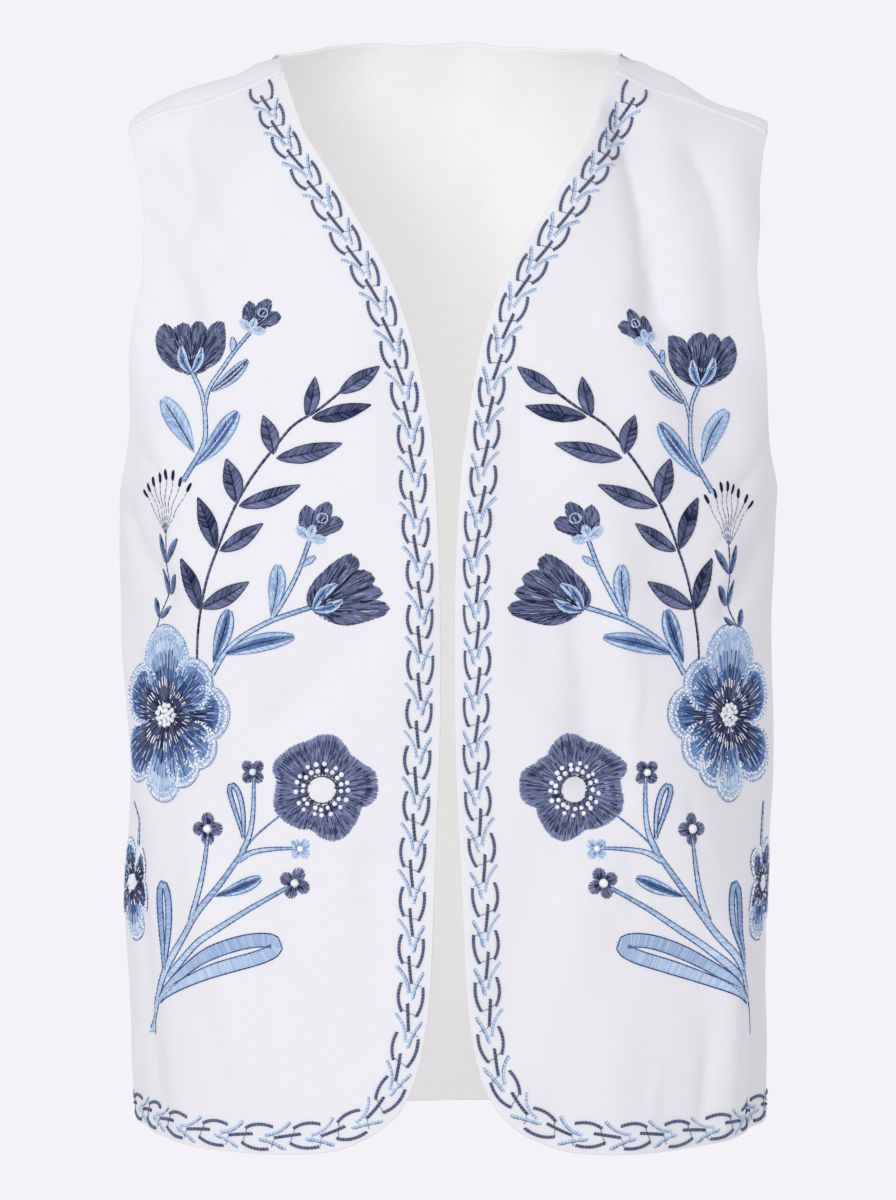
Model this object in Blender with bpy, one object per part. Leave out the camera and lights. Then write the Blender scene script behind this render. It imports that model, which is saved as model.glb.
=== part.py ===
"""Sleeveless, collarless waistcoat in white denim, filled out as if worn, in metres, +Z up.

The front faces -Y and the wearer's left is +X. The origin is midway between the middles of
the two shoulders, where the garment hangs from whoever wears it.

All the cloth lies on one form, a general figure. A place on the form is a pair (around,
along). Around is an angle, 0 at the middle of the front or back and a quarter turn at the
side. Along is a distance that runs up the back from the hem, over the shoulder ridge, and
down the front. Each pattern piece is a region of that sheet.
"""

from collections import namedtuple

import bmesh
import bpy
import numpy as np

CLOTH = 0.0020
SEAM_GAP = 0.0003

# The figure. Round is the exponent of the oval cross-section: 2 is an ellipse, more is boxier.
ROUND = 2.45
SIDE = np.pi / 2
CHEST_LEVEL = -0.235
RIDGE_LEVEL = 0.019
FRONT_SLOPE_ROUND = 1.75
BACK_SLOPE_ROUND = 2.30
SHOULDER_RUN = 0.180
NECK_HALF_WIDTH = 0.0925
NECK_SOFTNESS = 0.035
SHOULDER_FALL = 0.486
FULL_SLOPE_RISE = 0.9
RIDGE = CHEST_LEVEL + SHOULDER_RUN * np.pi / 2

Section = namedtuple("Section", "level half_width front_depth back_depth")
SECTIONS = [
    Section(-0.600, 0.1695, 0.1130, 0.1060),
    Section(-0.560, 0.1708, 0.1140, 0.1060),
    Section(-0.520, 0.1738, 0.1140, 0.1045),
    Section(-0.480, 0.1744, 0.1130, 0.1010),
    Section(-0.410, 0.1726, 0.1110, 0.0960),
    Section(-0.350, 0.1754, 0.1130, 0.0970),
    Section(-0.290, 0.1775, 0.1165, 0.1020),
    Section(-0.235, 0.1792, 0.1180, 0.1060),
]
# Above the chest only the half width is a table: the depths close in to the shoulder ridge.
Girth = namedtuple("Girth", "level half_width")
ARM_GIRTHS = [
    Girth(-0.235, 0.1792),
    Girth(-0.180, 0.1812),
    Girth(-0.120, 0.1868),
    Girth(-0.060, 0.1876),
    Girth(0.019, 0.1885),
]

# The front edges, height against distance from the middle. The two fronts hang a little apart.
Edge = namedtuple("Edge", "height right left")
FRONT_EDGES = [
    Edge(-0.0262, 0.0782, 0.0783),
    Edge(-0.0538, 0.0623, 0.0630),
    Edge(-0.0778, 0.0483, 0.0490),
    Edge(-0.0958, 0.0379, 0.0378),
    Edge(-0.1119, 0.0301, 0.0284),
    Edge(-0.1279, 0.0239, 0.0222),
    Edge(-0.1438, 0.0189, 0.0176),
    Edge(-0.1596, 0.0149, 0.0142),
    Edge(-0.1754, 0.0115, 0.0115),
    Edge(-0.1911, 0.0089, 0.0092),
    Edge(-0.2172, 0.0067, 0.0061),
    Edge(-0.2485, 0.0051, 0.0041),
    Edge(-0.2797, 0.0041, 0.0031),
    Edge(-0.3318, 0.0040, 0.0031),
    Edge(-0.3841, 0.0053, 0.0044),
    Edge(-0.4363, 0.0074, 0.0072),
    Edge(-0.4805, 0.0093, 0.0093),
]
# The round lower corner of each front, from the end of its edge to the level part of its hem.
Corner = namedtuple("Corner", "out height")
CORNER = [
    Corner(0.0107, -0.4990),
    Corner(0.0142, -0.5190),
    Corner(0.0169, -0.5295),
    Corner(0.0208, -0.5390),
    Corner(0.0264, -0.5485),
    Corner(0.0342, -0.5556),
    Corner(0.0445, -0.5617),
    Corner(0.0610, -0.5680),
    Corner(0.0830, -0.5702),
    Corner(0.1050, -0.5702),
]
CORNER_MIDDLE = 5
FRONT_HEM = -0.5702
SIDE_HEM = -0.5615
BACK_HEM = -0.5645

# The shoulder seam lies in front of the ridge, further at the neck than at the tip.
SEAM_FORWARD_AT_NECK = 0.028
SEAM_FORWARD_AT_TIP = 0.009
TIP_HALF_WIDTH = 0.1740

# The armholes, as seen from the side: height against distance in front of or behind the side.
UNDERARM = -0.2255
ARMHOLE_WIDEST = -0.1300
ARMHOLE_ROUND = 3.00
Arm = namedtuple("Arm", "height front back")
ARMHOLE = [
    Arm(-0.1300, 0.0545, 0.0580),
    Arm(-0.1050, 0.0505, 0.0570),
    Arm(-0.0800, 0.0405, 0.0500),
    Arm(-0.0600, 0.0325, 0.0395),
    Arm(-0.0430, 0.0230, 0.0275),
]

# The back neckline, distance from the middle against height.
Neck = namedtuple("Neck", "out height")
BACK_NECK = [
    Neck(0.0000, 0.0300),
    Neck(0.0270, 0.0293),
    Neck(0.0540, 0.0271),
    Neck(0.0720, 0.0250),
    Neck(0.0840, 0.0222),
]

# The largest folds, each a soft trough (depth below 0) or ridge along a line. Face is -1 on
# the front and 1 on the back. Out is the distance from the middle, + towards the wearer's left.
Fold = namedtuple("Fold", "face out_a height_a out_b height_b width depth")
FOLDS = [
    Fold(-1, -0.150, -0.033, -0.122, -0.096, 0.0120, -0.0030),
    Fold(-1, -0.164, -0.074, -0.132, -0.140, 0.0120, -0.0026),
    Fold(-1, 0.094, -0.020, 0.112, -0.125, 0.0110, -0.0046),
    Fold(-1, 0.112, -0.125, 0.139, -0.190, 0.0150, -0.0028),
    Fold(-1, 0.136, -0.045, 0.150, -0.140, 0.0130, -0.0022),
    Fold(-1, -0.174, -0.236, -0.150, -0.276, 0.0090, -0.0026),
    Fold(-1, 0.174, -0.236, 0.150, -0.284, 0.0100, -0.0030),
    Fold(-1, 0.070, -0.290, 0.078, -0.372, 0.0100, -0.0026),
    Fold(-1, 0.090, -0.300, 0.092, -0.365, 0.0090, 0.0022),
    Fold(-1, -0.045, -0.300, -0.090, -0.345, 0.0110, -0.0020),
    Fold(-1, -0.168, -0.400, -0.158, -0.540, 0.0110, -0.0026),
    Fold(-1, 0.148, -0.470, 0.146, -0.560, 0.0120, 0.0034),
    Fold(-1, 0.166, -0.450, 0.164, -0.555, 0.0110, -0.0034),
    Fold(-1, -0.040, -0.420, -0.038, -0.510, 0.0120, -0.0020),
    Fold(1, -0.150, -0.060, -0.110, -0.150, 0.0150, -0.0030),
    Fold(1, 0.150, -0.055, 0.116, -0.140, 0.0150, -0.0032),
    Fold(1, -0.165, -0.240, -0.110, -0.300, 0.0130, -0.0032),
    Fold(1, 0.165, -0.238, 0.118, -0.310, 0.0120, -0.0030),
    Fold(1, -0.050, -0.340, -0.075, -0.440, 0.0160, -0.0028),
    Fold(1, 0.060, -0.330, 0.090, -0.425, 0.0160, -0.0030),
    Fold(1, -0.120, -0.430, -0.128, -0.555, 0.0150, 0.0032),
    Fold(1, 0.100, -0.440, 0.108, -0.560, 0.0150, 0.0030),
]

FRONT_COLUMNS = 15
NECK_COLUMNS = 7
SEAM_ROWS = 18
ARMHOLE_ROWS = 14
SEARCH_ROUNDS = 46
RELAX_ROUNDS = 900
ANGLE_STEP = 0.004
ALONG_STEP = 0.001
FACE_FRONT = -1
FACE_BACK = 1
WHITE_DENIM = (0.86, 0.85, 0.89)
DENIM_ROUGHNESS = 0.85


def clear_scene():
    """Removes whatever the file holds."""
    for thing in list(bpy.data.objects):
        bpy.data.objects.remove(thing)


def smooth_table(rows, key, value):
    """A smooth curve through two columns of a table, as a function of arrays."""
    pairs = sorted((getattr(row, key), getattr(row, value)) for row in rows)
    at = np.array([pair[0] for pair in pairs])
    to = np.array([pair[1] for pair in pairs])
    slopes = np.gradient(to, at)

    def curve(where):
        where = np.clip(where, at[0], at[-1])
        i = np.clip(np.searchsorted(at, where) - 1, 0, len(at) - 2)
        step = at[i + 1] - at[i]
        t = (where - at[i]) / step
        bend_a = step * slopes[i] * (t**3 - 2 * t**2 + t)
        bend_b = step * slopes[i + 1] * (t**3 - t**2)
        return to[i] * (2 * t**3 - 3 * t**2 + 1) + to[i + 1] * (3 * t**2 - 2 * t**3) + bend_a + bend_b

    return curve


torso_width = smooth_table(SECTIONS, "level", "half_width")
torso_front = smooth_table(SECTIONS, "level", "front_depth")
torso_back = smooth_table(SECTIONS, "level", "back_depth")
arm_width = smooth_table(ARM_GIRTHS, "level", "half_width")


def tent(out):
    """How much higher the sloping shoulder is at this distance from the middle than at the neck."""
    return SHOULDER_FALL * (np.hypot(NECK_HALF_WIDTH, NECK_SOFTNESS) - np.hypot(out, NECK_SOFTNESS))


def section(along):
    """Half width, depth, level and shoulder share of the form's cross-section at a place along it."""
    level_along = np.where(along > RIDGE, 2 * RIDGE - along, along)
    in_front = along > RIDGE
    climb = np.clip((level_along - CHEST_LEVEL) / SHOULDER_RUN, 0, np.pi / 2)
    rise = np.sin(climb)
    level = np.where(climb > 0, CHEST_LEVEL + (RIDGE_LEVEL - CHEST_LEVEL) * rise, level_along)
    width = np.where(climb > 0, arm_width(level), torso_width(level))
    slope_round = np.where(in_front, FRONT_SLOPE_ROUND, BACK_SLOPE_ROUND)
    closing = np.clip(1 - rise**slope_round, 0, 1) ** (1 / slope_round)
    depth = np.where(in_front, -torso_front(level), torso_back(level)) * closing
    share = np.clip(rise / FULL_SLOPE_RISE, 0, 1)
    return width, depth, level, share * share * (3 - 2 * share)


def form_point(around, along):
    """Points of the smooth form, before folds, for arrays of angles and distances."""
    width, depth, level, share = section(along)
    out = width * np.abs(np.sin(around)) ** (2 / ROUND)
    forward = depth * np.abs(np.cos(around)) ** (2 / ROUND)
    return np.stack([out, forward, level + share * tent(out)], axis=-1)


def search(low, high, error):
    """The place between two arrays where an increasing error function crosses zero."""
    low, high = np.array(low, float), np.array(high, float)
    for _ in range(SEARCH_ROUNDS):
        middle = (low + high) / 2
        over = error(middle) > 0
        high = np.where(over, middle, high)
        low = np.where(over, low, middle)
    return (low + high) / 2


def around_at(out, along):
    """The angle whose point is this far from the middle."""
    width = section(along)[0]
    return np.arcsin(np.clip(out / width, 0, 1) ** (ROUND / 2))


def place_at(out, height, face):
    """The place on the form at a distance from the middle and a height, on the front or back."""
    out, height = np.broadcast_arrays(np.asarray(out, float), np.asarray(height, float))
    lowest = SECTIONS[0].level

    def error(level_along):
        along = level_along if face == FACE_BACK else 2 * RIDGE - level_along
        return form_point(around_at(out, along), along)[..., 2] - height

    level_along = search(np.full(out.shape, lowest), np.full(out.shape, RIDGE), error)
    along = level_along if face == FACE_BACK else 2 * RIDGE - level_along
    return np.stack([around_at(out, along), along], axis=-1)


def seam_place(out, forward):
    """The place on the front of the form at a distance from the middle and in front of the ridge."""
    out = np.asarray(out, float)

    def error(along):
        return -form_point(around_at(out, along), along)[..., 1] - forward

    along = search(np.full(out.shape, RIDGE), np.full(out.shape, 2 * RIDGE - CHEST_LEVEL), error)
    return np.stack([around_at(out, along), along], axis=-1)


def armhole_place(height, reach, face):
    """The place on the form at a height and a distance in front of or behind the side."""
    height, reach = np.asarray(height, float), np.asarray(reach, float)

    def angle(along):
        depth = np.abs(section(along)[1])
        return np.arccos(np.clip(reach / np.maximum(depth, 1e-9), 0, 1) ** (ROUND / 2))

    def error(level_along):
        along = level_along if face == FACE_BACK else 2 * RIDGE - level_along
        return form_point(angle(along), along)[..., 2] - height

    level_along = search(np.full(height.shape, CHEST_LEVEL - 0.01), np.full(height.shape, RIDGE), error)
    along = level_along if face == FACE_BACK else 2 * RIDGE - level_along
    return np.stack([angle(along), along], axis=-1)


def through(places, steps=200):
    """A smooth, dense curve through places on the form."""
    places = np.asarray(places, float)
    ahead = np.vstack([2 * places[0] - places[1], places, 2 * places[-1] - places[-2]])
    t = np.linspace(0, 1, steps, endpoint=False)[:, None]
    pieces = []
    for a, b, c, d in zip(ahead, ahead[1:], ahead[2:], ahead[3:]):
        bend = (2 * a - 5 * b + 4 * c - d) * t**2
        twist = (3 * b - a - 3 * c + d) * t**3
        pieces.append(0.5 * (2 * b + (c - a) * t + bend + twist))
    return np.vstack([*pieces, places[-1:]])


def evenly(curve, count):
    """Places at equal distances of cloth along a dense curve on the form."""
    points = form_point(curve[:, 0], curve[:, 1])
    run = np.concatenate([[0], np.cumsum(np.linalg.norm(np.diff(points, axis=0), axis=1))])
    at = np.linspace(0, run[-1], count + 1)
    return np.stack([np.interp(at, run, curve[:, 0]), np.interp(at, run, curve[:, 1])], axis=-1)


def seam_curve(outward):
    """The shoulder seam, from the neck to the tip, on the front of the form."""
    out = NECK_HALF_WIDTH + outward * (TIP_HALF_WIDTH - NECK_HALF_WIDTH)
    forward = SEAM_FORWARD_AT_NECK + outward * (SEAM_FORWARD_AT_TIP - SEAM_FORWARD_AT_NECK)
    return seam_place(out, forward)


def shoulder_places(shift):
    """Even places along the shoulder seam, moved down the front by a distance."""
    places = evenly(seam_curve(np.linspace(0, 1, 120)), FRONT_COLUMNS)
    ahead = form_point(places[:, 0], places[:, 1] + CLOTH)
    stretch = np.linalg.norm(ahead - form_point(places[:, 0], places[:, 1]), axis=-1) / CLOTH
    places[:, 1] += shift / stretch
    return places


def armhole_curve(face):
    """The armhole of one face, from the underarm to the shoulder tip's end of the seam."""
    widest = ARMHOLE[0].front if face == FACE_FRONT else ARMHOLE[0].back
    turn = np.linspace(0, np.pi / 2, 24)[:-1]
    reach = widest * np.sin(turn) ** (2 / ARMHOLE_ROUND)
    height = ARMHOLE_WIDEST + (UNDERARM - ARMHOLE_WIDEST) * np.cos(turn) ** (2 / ARMHOLE_ROUND)
    lower = armhole_place(height, reach, face)
    upper_reach = np.array([row.front if face == FACE_FRONT else row.back for row in ARMHOLE])
    upper = armhole_place(np.array([row.height for row in ARMHOLE]), upper_reach, face)
    tip = seam_curve(np.array([1.0]))
    if face == FACE_FRONT:
        return through(np.vstack([lower, upper, tip]), 12)
    over_ridge = np.array([[around_at(TIP_HALF_WIDTH, RIDGE), RIDGE]])
    return through(np.vstack([lower, upper, over_ridge, tip]), 12)


def hem_height(out):
    """The front hem's height at a distance from the middle, level and then rising to the side."""
    level_end, side = CORNER[-1].out, section(SIDE_HEM)[0]
    share = np.clip((out - level_end) / (side - level_end), 0, 1)
    return FRONT_HEM + (SIDE_HEM - FRONT_HEM) * share * share


def front_outline(side):
    """The front's edge from its neck end to the round corner, and its hem from there to the side."""
    column = "right" if side < 0 else "left"
    out = np.array([getattr(row, column) for row in FRONT_EDGES])
    height = np.array([row.height for row in FRONT_EDGES])
    out = np.append(out, [row.out for row in CORNER])
    height = np.append(height, [row.height for row in CORNER])
    outline = np.vstack([seam_curve(np.array([0.0])), place_at(out, height, FACE_FRONT)])
    split = len(FRONT_EDGES) + CORNER_MIDDLE
    hem_out = np.linspace(out[-1], section(2 * RIDGE - SIDE_HEM)[0] * 0.999, 20)[1:-1]
    hem = place_at(hem_out, hem_height(hem_out), FACE_FRONT)
    side_foot = np.array([[SIDE, 2 * RIDGE - SIDE_HEM]])
    return through(outline[: split + 1], 12), through(np.vstack([outline[split:], hem, side_foot]), 12)


def relax(grid):
    """Spreads the inner places of a grid evenly between its four fixed sides."""
    rows, columns = grid.shape[:2]
    down = np.linspace(0, 1, rows)[:, None, None]
    across = np.linspace(0, 1, columns)[None, :, None]
    grid[1:-1, 1:-1] = ((1 - down) * grid[:1] + down * grid[-1:])[1:-1, 1:-1] * 0.5
    grid[1:-1, 1:-1] += ((1 - across) * grid[:, :1] + across * grid[:, -1:])[1:-1, 1:-1] * 0.5
    for _ in range(RELAX_ROUNDS):
        near = grid[:-2, 1:-1] + grid[2:, 1:-1] + grid[1:-1, :-2] + grid[1:-1, 2:]
        grid[1:-1, 1:-1] = near / 4
    return grid


def side_places(face):
    """The side seam and armhole of one face, hem first, at even steps, drawn in from the seam line."""
    foot, top = (SIDE_HEM, UNDERARM)
    along = np.linspace(foot, top, SEAM_ROWS + 1)
    if face == FACE_FRONT:
        along = 2 * RIDGE - along
    girth = np.abs(section(along)[1])
    seam = np.stack([SIDE - (SEAM_GAP / 2 / girth) ** (ROUND / 2), along], axis=-1)
    return np.vstack([seam, evenly(armhole_curve(face), ARMHOLE_ROWS)[1:]])


def front_places(side):
    """The grid of places of one front: rows from hem to shoulder seam, columns from edge to side."""
    edge, hem = front_outline(side)
    rows, columns = SEAM_ROWS + ARMHOLE_ROWS + 1, FRONT_COLUMNS + 1
    grid = np.zeros((rows, columns, 2))
    grid[:, 0] = evenly(edge, rows - 1)[::-1]
    grid[0] = evenly(hem, columns - 1)
    grid[:, -1] = side_places(FACE_FRONT)
    grid[-1] = shoulder_places(SEAM_GAP / 2)
    return relax(grid)


def back_places():
    """The grid of places of half the back: rows from hem to neck and seam, columns from the middle."""
    rows, columns = SEAM_ROWS + ARMHOLE_ROWS + 1, NECK_COLUMNS + FRONT_COLUMNS + 1
    out = np.array([row.out for row in BACK_NECK])
    neck = place_at(out, np.array([row.height for row in BACK_NECK]), FACE_BACK)
    over_ridge = np.array([[around_at(NECK_HALF_WIDTH, RIDGE), RIDGE]])
    neckline = through(np.vstack([neck, over_ridge, seam_curve(np.array([0.0]))]), 40)
    hem_along = BACK_HEM + (SIDE_HEM - BACK_HEM) * np.linspace(0, 1, 60) ** 3
    hem = np.stack([np.linspace(0, SIDE, 60), hem_along], axis=-1)
    grid = np.zeros((rows, columns, 2))
    grid[0] = evenly(hem, columns - 1)
    grid[-1] = np.vstack([evenly(neckline, NECK_COLUMNS)[:-1], shoulder_places(-SEAM_GAP / 2)])
    grid[:, -1] = side_places(FACE_BACK)
    grid[:, 0, 1] = np.linspace(grid[0, 0, 1], grid[-1, 0, 1], rows)
    return relax(grid)


def surface(around, along):
    """Points and outward normals of the smooth form; around below 0 is the wearer's right."""
    hand = np.where(around < 0, -1.0, 1.0)

    def point(a, b):
        p = form_point(np.abs(a), b)
        p[..., 0] *= np.where(a < 0, -1.0, 1.0)
        return p

    inside = hand * np.minimum(np.abs(around), SIDE - ANGLE_STEP)
    ease = np.where(np.abs(inside) < 2 * ANGLE_STEP, hand * 2 * ANGLE_STEP, inside)
    across = point(ease + ANGLE_STEP, along) - point(ease - ANGLE_STEP, along)
    up = point(ease, along + ALONG_STEP) - point(ease, along - ALONG_STEP)
    normal = np.cross(up, across)
    return point(around, along), normal / np.linalg.norm(normal, axis=-1, keepdims=True)


def fold_depth(points):
    """How far the folds move the cloth out at each point of the form."""
    moved = np.zeros(points.shape[:-1])
    for fold in FOLDS:
        ends = []
        for out, height in ((fold.out_a, fold.height_a), (fold.out_b, fold.height_b)):
            place = place_at(abs(out), height, fold.face)
            end = form_point(place[0], place[1])
            end[0] *= np.sign(out)
            ends.append(end)
        line = ends[1] - ends[0]
        share = np.clip((points - ends[0]) @ line / (line @ line), 0, 1)
        away = np.linalg.norm(points - ends[0] - share[..., None] * line, axis=-1)
        moved += fold.depth * np.exp(-((away / fold.width) ** 2))
    return moved


def cloth_layers(places):
    """The cloth's outer and inner points over a grid of places, with its folds."""
    points, normals = surface(places[..., 0], places[..., 1])
    outer = points + normals * fold_depth(points)[..., None]
    return outer, outer - normals * CLOTH


def add_wall(name, outer, inner):
    """A closed cloth wall between two grids of points, with a rim round its edge."""
    rows, columns = outer.shape[:2]
    mesh = bpy.data.meshes.new(name)
    shape = bmesh.new()
    outside = [[shape.verts.new(outer[i, j]) for j in range(columns)] for i in range(rows)]
    inside = [[shape.verts.new(inner[i, j]) for j in range(columns)] for i in range(rows)]
    for i in range(rows - 1):
        for j in range(columns - 1):
            square = ((i, j), (i, j + 1), (i + 1, j + 1), (i + 1, j))
            shape.faces.new([outside[a][b] for a, b in square])
            shape.faces.new([inside[a][b] for a, b in reversed(square)])
    around = [(0, j) for j in range(columns)]
    around += [(i, columns - 1) for i in range(1, rows)]
    around += [(rows - 1, j) for j in range(columns - 2, -1, -1)]
    around += [(i, 0) for i in range(rows - 2, 0, -1)]
    for (a, b), (c, d) in zip(around, around[1:] + around[:1]):
        shape.faces.new((outside[a][b], inside[a][b], inside[c][d], outside[c][d]))
    bmesh.ops.triangulate(shape, faces=shape.faces[:], quad_method="SHORT_EDGE")
    shape.to_mesh(mesh)
    shape.free()
    mesh.shade_smooth()
    wall = bpy.data.objects.new(name, mesh)
    bpy.context.scene.collection.objects.link(wall)
    mesh.materials.append(cloth_material(name))


def cloth_material(name):
    """A plain woven-cloth finish."""
    material = bpy.data.materials.new(name)
    material.use_nodes = True
    shader = material.node_tree.nodes["Principled BSDF"]
    shader.inputs["Base Color"].default_value = (*WHITE_DENIM, 1)
    shader.inputs["Roughness"].default_value = DENIM_ROUGHNESS
    shader.inputs["Metallic"].default_value = 0
    return material


def make_front(name, side):
    """One front, with its round lower corner and curved neck edge."""
    places = front_places(side)
    places[..., 0] *= side
    if side < 0:
        places = places[:, ::-1]
    add_wall(name, *cloth_layers(places))


def whole_back_places():
    """Both halves of the back as one grid, from the wearer's right to the left."""
    half = back_places()
    mirrored = half[:, :0:-1].copy()
    mirrored[..., 0] *= -1
    return np.concatenate([mirrored, half], axis=1)[:, ::-1]


def make_back():
    """The back, in one piece from side seam to side seam and over both shoulders."""
    add_wall("back", *cloth_layers(whole_back_places()))


def main():
    """Builds the waistcoat's pieces."""
    clear_scene()
    make_front("front_right", -1)
    make_front("front_left", 1)
    make_back()


main()
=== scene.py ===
"""Dresses a sleeveless waistcoat in white denim with blue flower embroidery and a chain border.

Everything is in metres in the solids' frame: the front faces -Y, +X is the wearer's left and
+Z is up. The cloth lies on the same form as the solids. A place on the form is a pair (around,
along): an angle that is 0 at the middle of the front or back and a quarter turn at the side,
and a distance that runs up the back from the hem and down the front. The needlework is drawn
flat, as (out, height): the distance round the cloth from the middle, and the height.
"""

import logging
import math
from collections.abc import Callable, Sequence
from dataclasses import dataclass, field
from enum import Enum
from typing import NamedTuple

import bpy
import numpy as np
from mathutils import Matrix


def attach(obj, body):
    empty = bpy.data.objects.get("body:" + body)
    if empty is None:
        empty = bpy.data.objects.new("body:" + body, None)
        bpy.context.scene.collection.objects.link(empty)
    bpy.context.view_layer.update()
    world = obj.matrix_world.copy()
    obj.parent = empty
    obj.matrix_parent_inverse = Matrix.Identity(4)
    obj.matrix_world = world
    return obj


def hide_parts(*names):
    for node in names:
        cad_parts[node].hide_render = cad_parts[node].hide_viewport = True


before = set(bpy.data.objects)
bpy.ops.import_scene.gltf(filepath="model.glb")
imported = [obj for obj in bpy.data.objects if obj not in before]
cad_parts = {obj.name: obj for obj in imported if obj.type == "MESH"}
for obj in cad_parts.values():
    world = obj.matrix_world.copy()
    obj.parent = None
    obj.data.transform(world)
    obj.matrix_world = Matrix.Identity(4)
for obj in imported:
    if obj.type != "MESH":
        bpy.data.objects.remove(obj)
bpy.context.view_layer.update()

log = logging.getLogger("waistcoat")

Array = np.ndarray
Curve = Callable[[Array], Array]
Point = tuple[float, float]

MM = 0.001
SIDE = math.pi / 2
# How much cloth one step along the form covers at the shoulder seam.
CLOTH_PER_ALONG = 0.6
# The numbers of a mix node's two colour inputs.
MIX_A, MIX_B = 6, 7


class Face(Enum):
    """The front or the back of the waistcoat, by the sign of its Y."""

    FRONT = -1
    BACK = 1


class Thread(Enum):
    """The embroidery threads."""

    NAVY = "navy"
    BLUE = "blue"
    LIGHT = "light_blue"
    WHITE = "white"


FRONT, BACK = Face
NAVY, BLUE, LIGHT, WHITE = Thread
Colour = tuple[Thread, float]


class Section(NamedTuple):
    """The torso's oval cross-section at one level."""

    level: float
    half_width: float
    front_depth: float
    back_depth: float


class Girth(NamedTuple):
    """The half width at one level above the chest."""

    level: float
    half_width: float


class Edge(NamedTuple):
    """How far each front edge is from the middle at one height."""

    height: float
    right: float
    left: float


class Corner(NamedTuple):
    """A point of a front's round lower corner."""

    out: float
    height: float


class Arm(NamedTuple):
    """The armhole at one height, in front of and behind the side."""

    height: float
    front: float
    back: float


class Neck(NamedTuple):
    """A point of the back neckline."""

    out: float
    height: float


class Fold(NamedTuple):
    """A straight fold: below 0 it is a trough, above 0 a ridge."""

    face: Face
    out_a: float
    height_a: float
    out_b: float
    height_b: float
    width: float
    depth: float


class Crease(NamedTuple):
    """A small curved crease in millimetres, which fades out at both ends."""

    face: Face
    out_a: float
    height_a: float
    out_b: float
    height_b: float
    bow: float
    width: float
    depth: float


SECTIONS = (
    Section(-0.600, 0.1695, 0.1130, 0.1060),
    Section(-0.560, 0.1708, 0.1140, 0.1060),
    Section(-0.520, 0.1738, 0.1140, 0.1045),
    Section(-0.480, 0.1744, 0.1130, 0.1010),
    Section(-0.410, 0.1726, 0.1110, 0.0960),
    Section(-0.350, 0.1754, 0.1130, 0.0970),
    Section(-0.290, 0.1775, 0.1165, 0.1020),
    Section(-0.235, 0.1792, 0.1180, 0.1060),
)
ARM_GIRTHS = (
    Girth(-0.235, 0.1792),
    Girth(-0.180, 0.1812),
    Girth(-0.120, 0.1868),
    Girth(-0.060, 0.1876),
    Girth(0.019, 0.1885),
)
FRONT_EDGES = (
    Edge(-0.0262, 0.0782, 0.0783),
    Edge(-0.0538, 0.0623, 0.0630),
    Edge(-0.0778, 0.0483, 0.0490),
    Edge(-0.0958, 0.0379, 0.0378),
    Edge(-0.1119, 0.0301, 0.0284),
    Edge(-0.1279, 0.0239, 0.0222),
    Edge(-0.1438, 0.0189, 0.0176),
    Edge(-0.1596, 0.0149, 0.0142),
    Edge(-0.1754, 0.0115, 0.0115),
    Edge(-0.1911, 0.0089, 0.0092),
    Edge(-0.2172, 0.0067, 0.0061),
    Edge(-0.2485, 0.0051, 0.0041),
    Edge(-0.2797, 0.0041, 0.0031),
    Edge(-0.3318, 0.0040, 0.0031),
    Edge(-0.3841, 0.0053, 0.0044),
    Edge(-0.4363, 0.0074, 0.0072),
    Edge(-0.4805, 0.0093, 0.0093),
)
CORNER = (
    Corner(0.0107, -0.4990),
    Corner(0.0142, -0.5190),
    Corner(0.0169, -0.5295),
    Corner(0.0208, -0.5390),
    Corner(0.0264, -0.5485),
    Corner(0.0342, -0.5556),
    Corner(0.0445, -0.5617),
    Corner(0.0610, -0.5680),
    Corner(0.0830, -0.5702),
    Corner(0.1050, -0.5702),
)
ARMHOLE = (
    Arm(-0.1300, 0.0545, 0.0580),
    Arm(-0.1050, 0.0505, 0.0570),
    Arm(-0.0800, 0.0405, 0.0500),
    Arm(-0.0600, 0.0325, 0.0395),
    Arm(-0.0430, 0.0230, 0.0275),
)
BACK_NECK = (
    Neck(0.0000, 0.0300),
    Neck(0.0270, 0.0293),
    Neck(0.0540, 0.0271),
    Neck(0.0720, 0.0250),
    Neck(0.0840, 0.0222),
)
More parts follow.
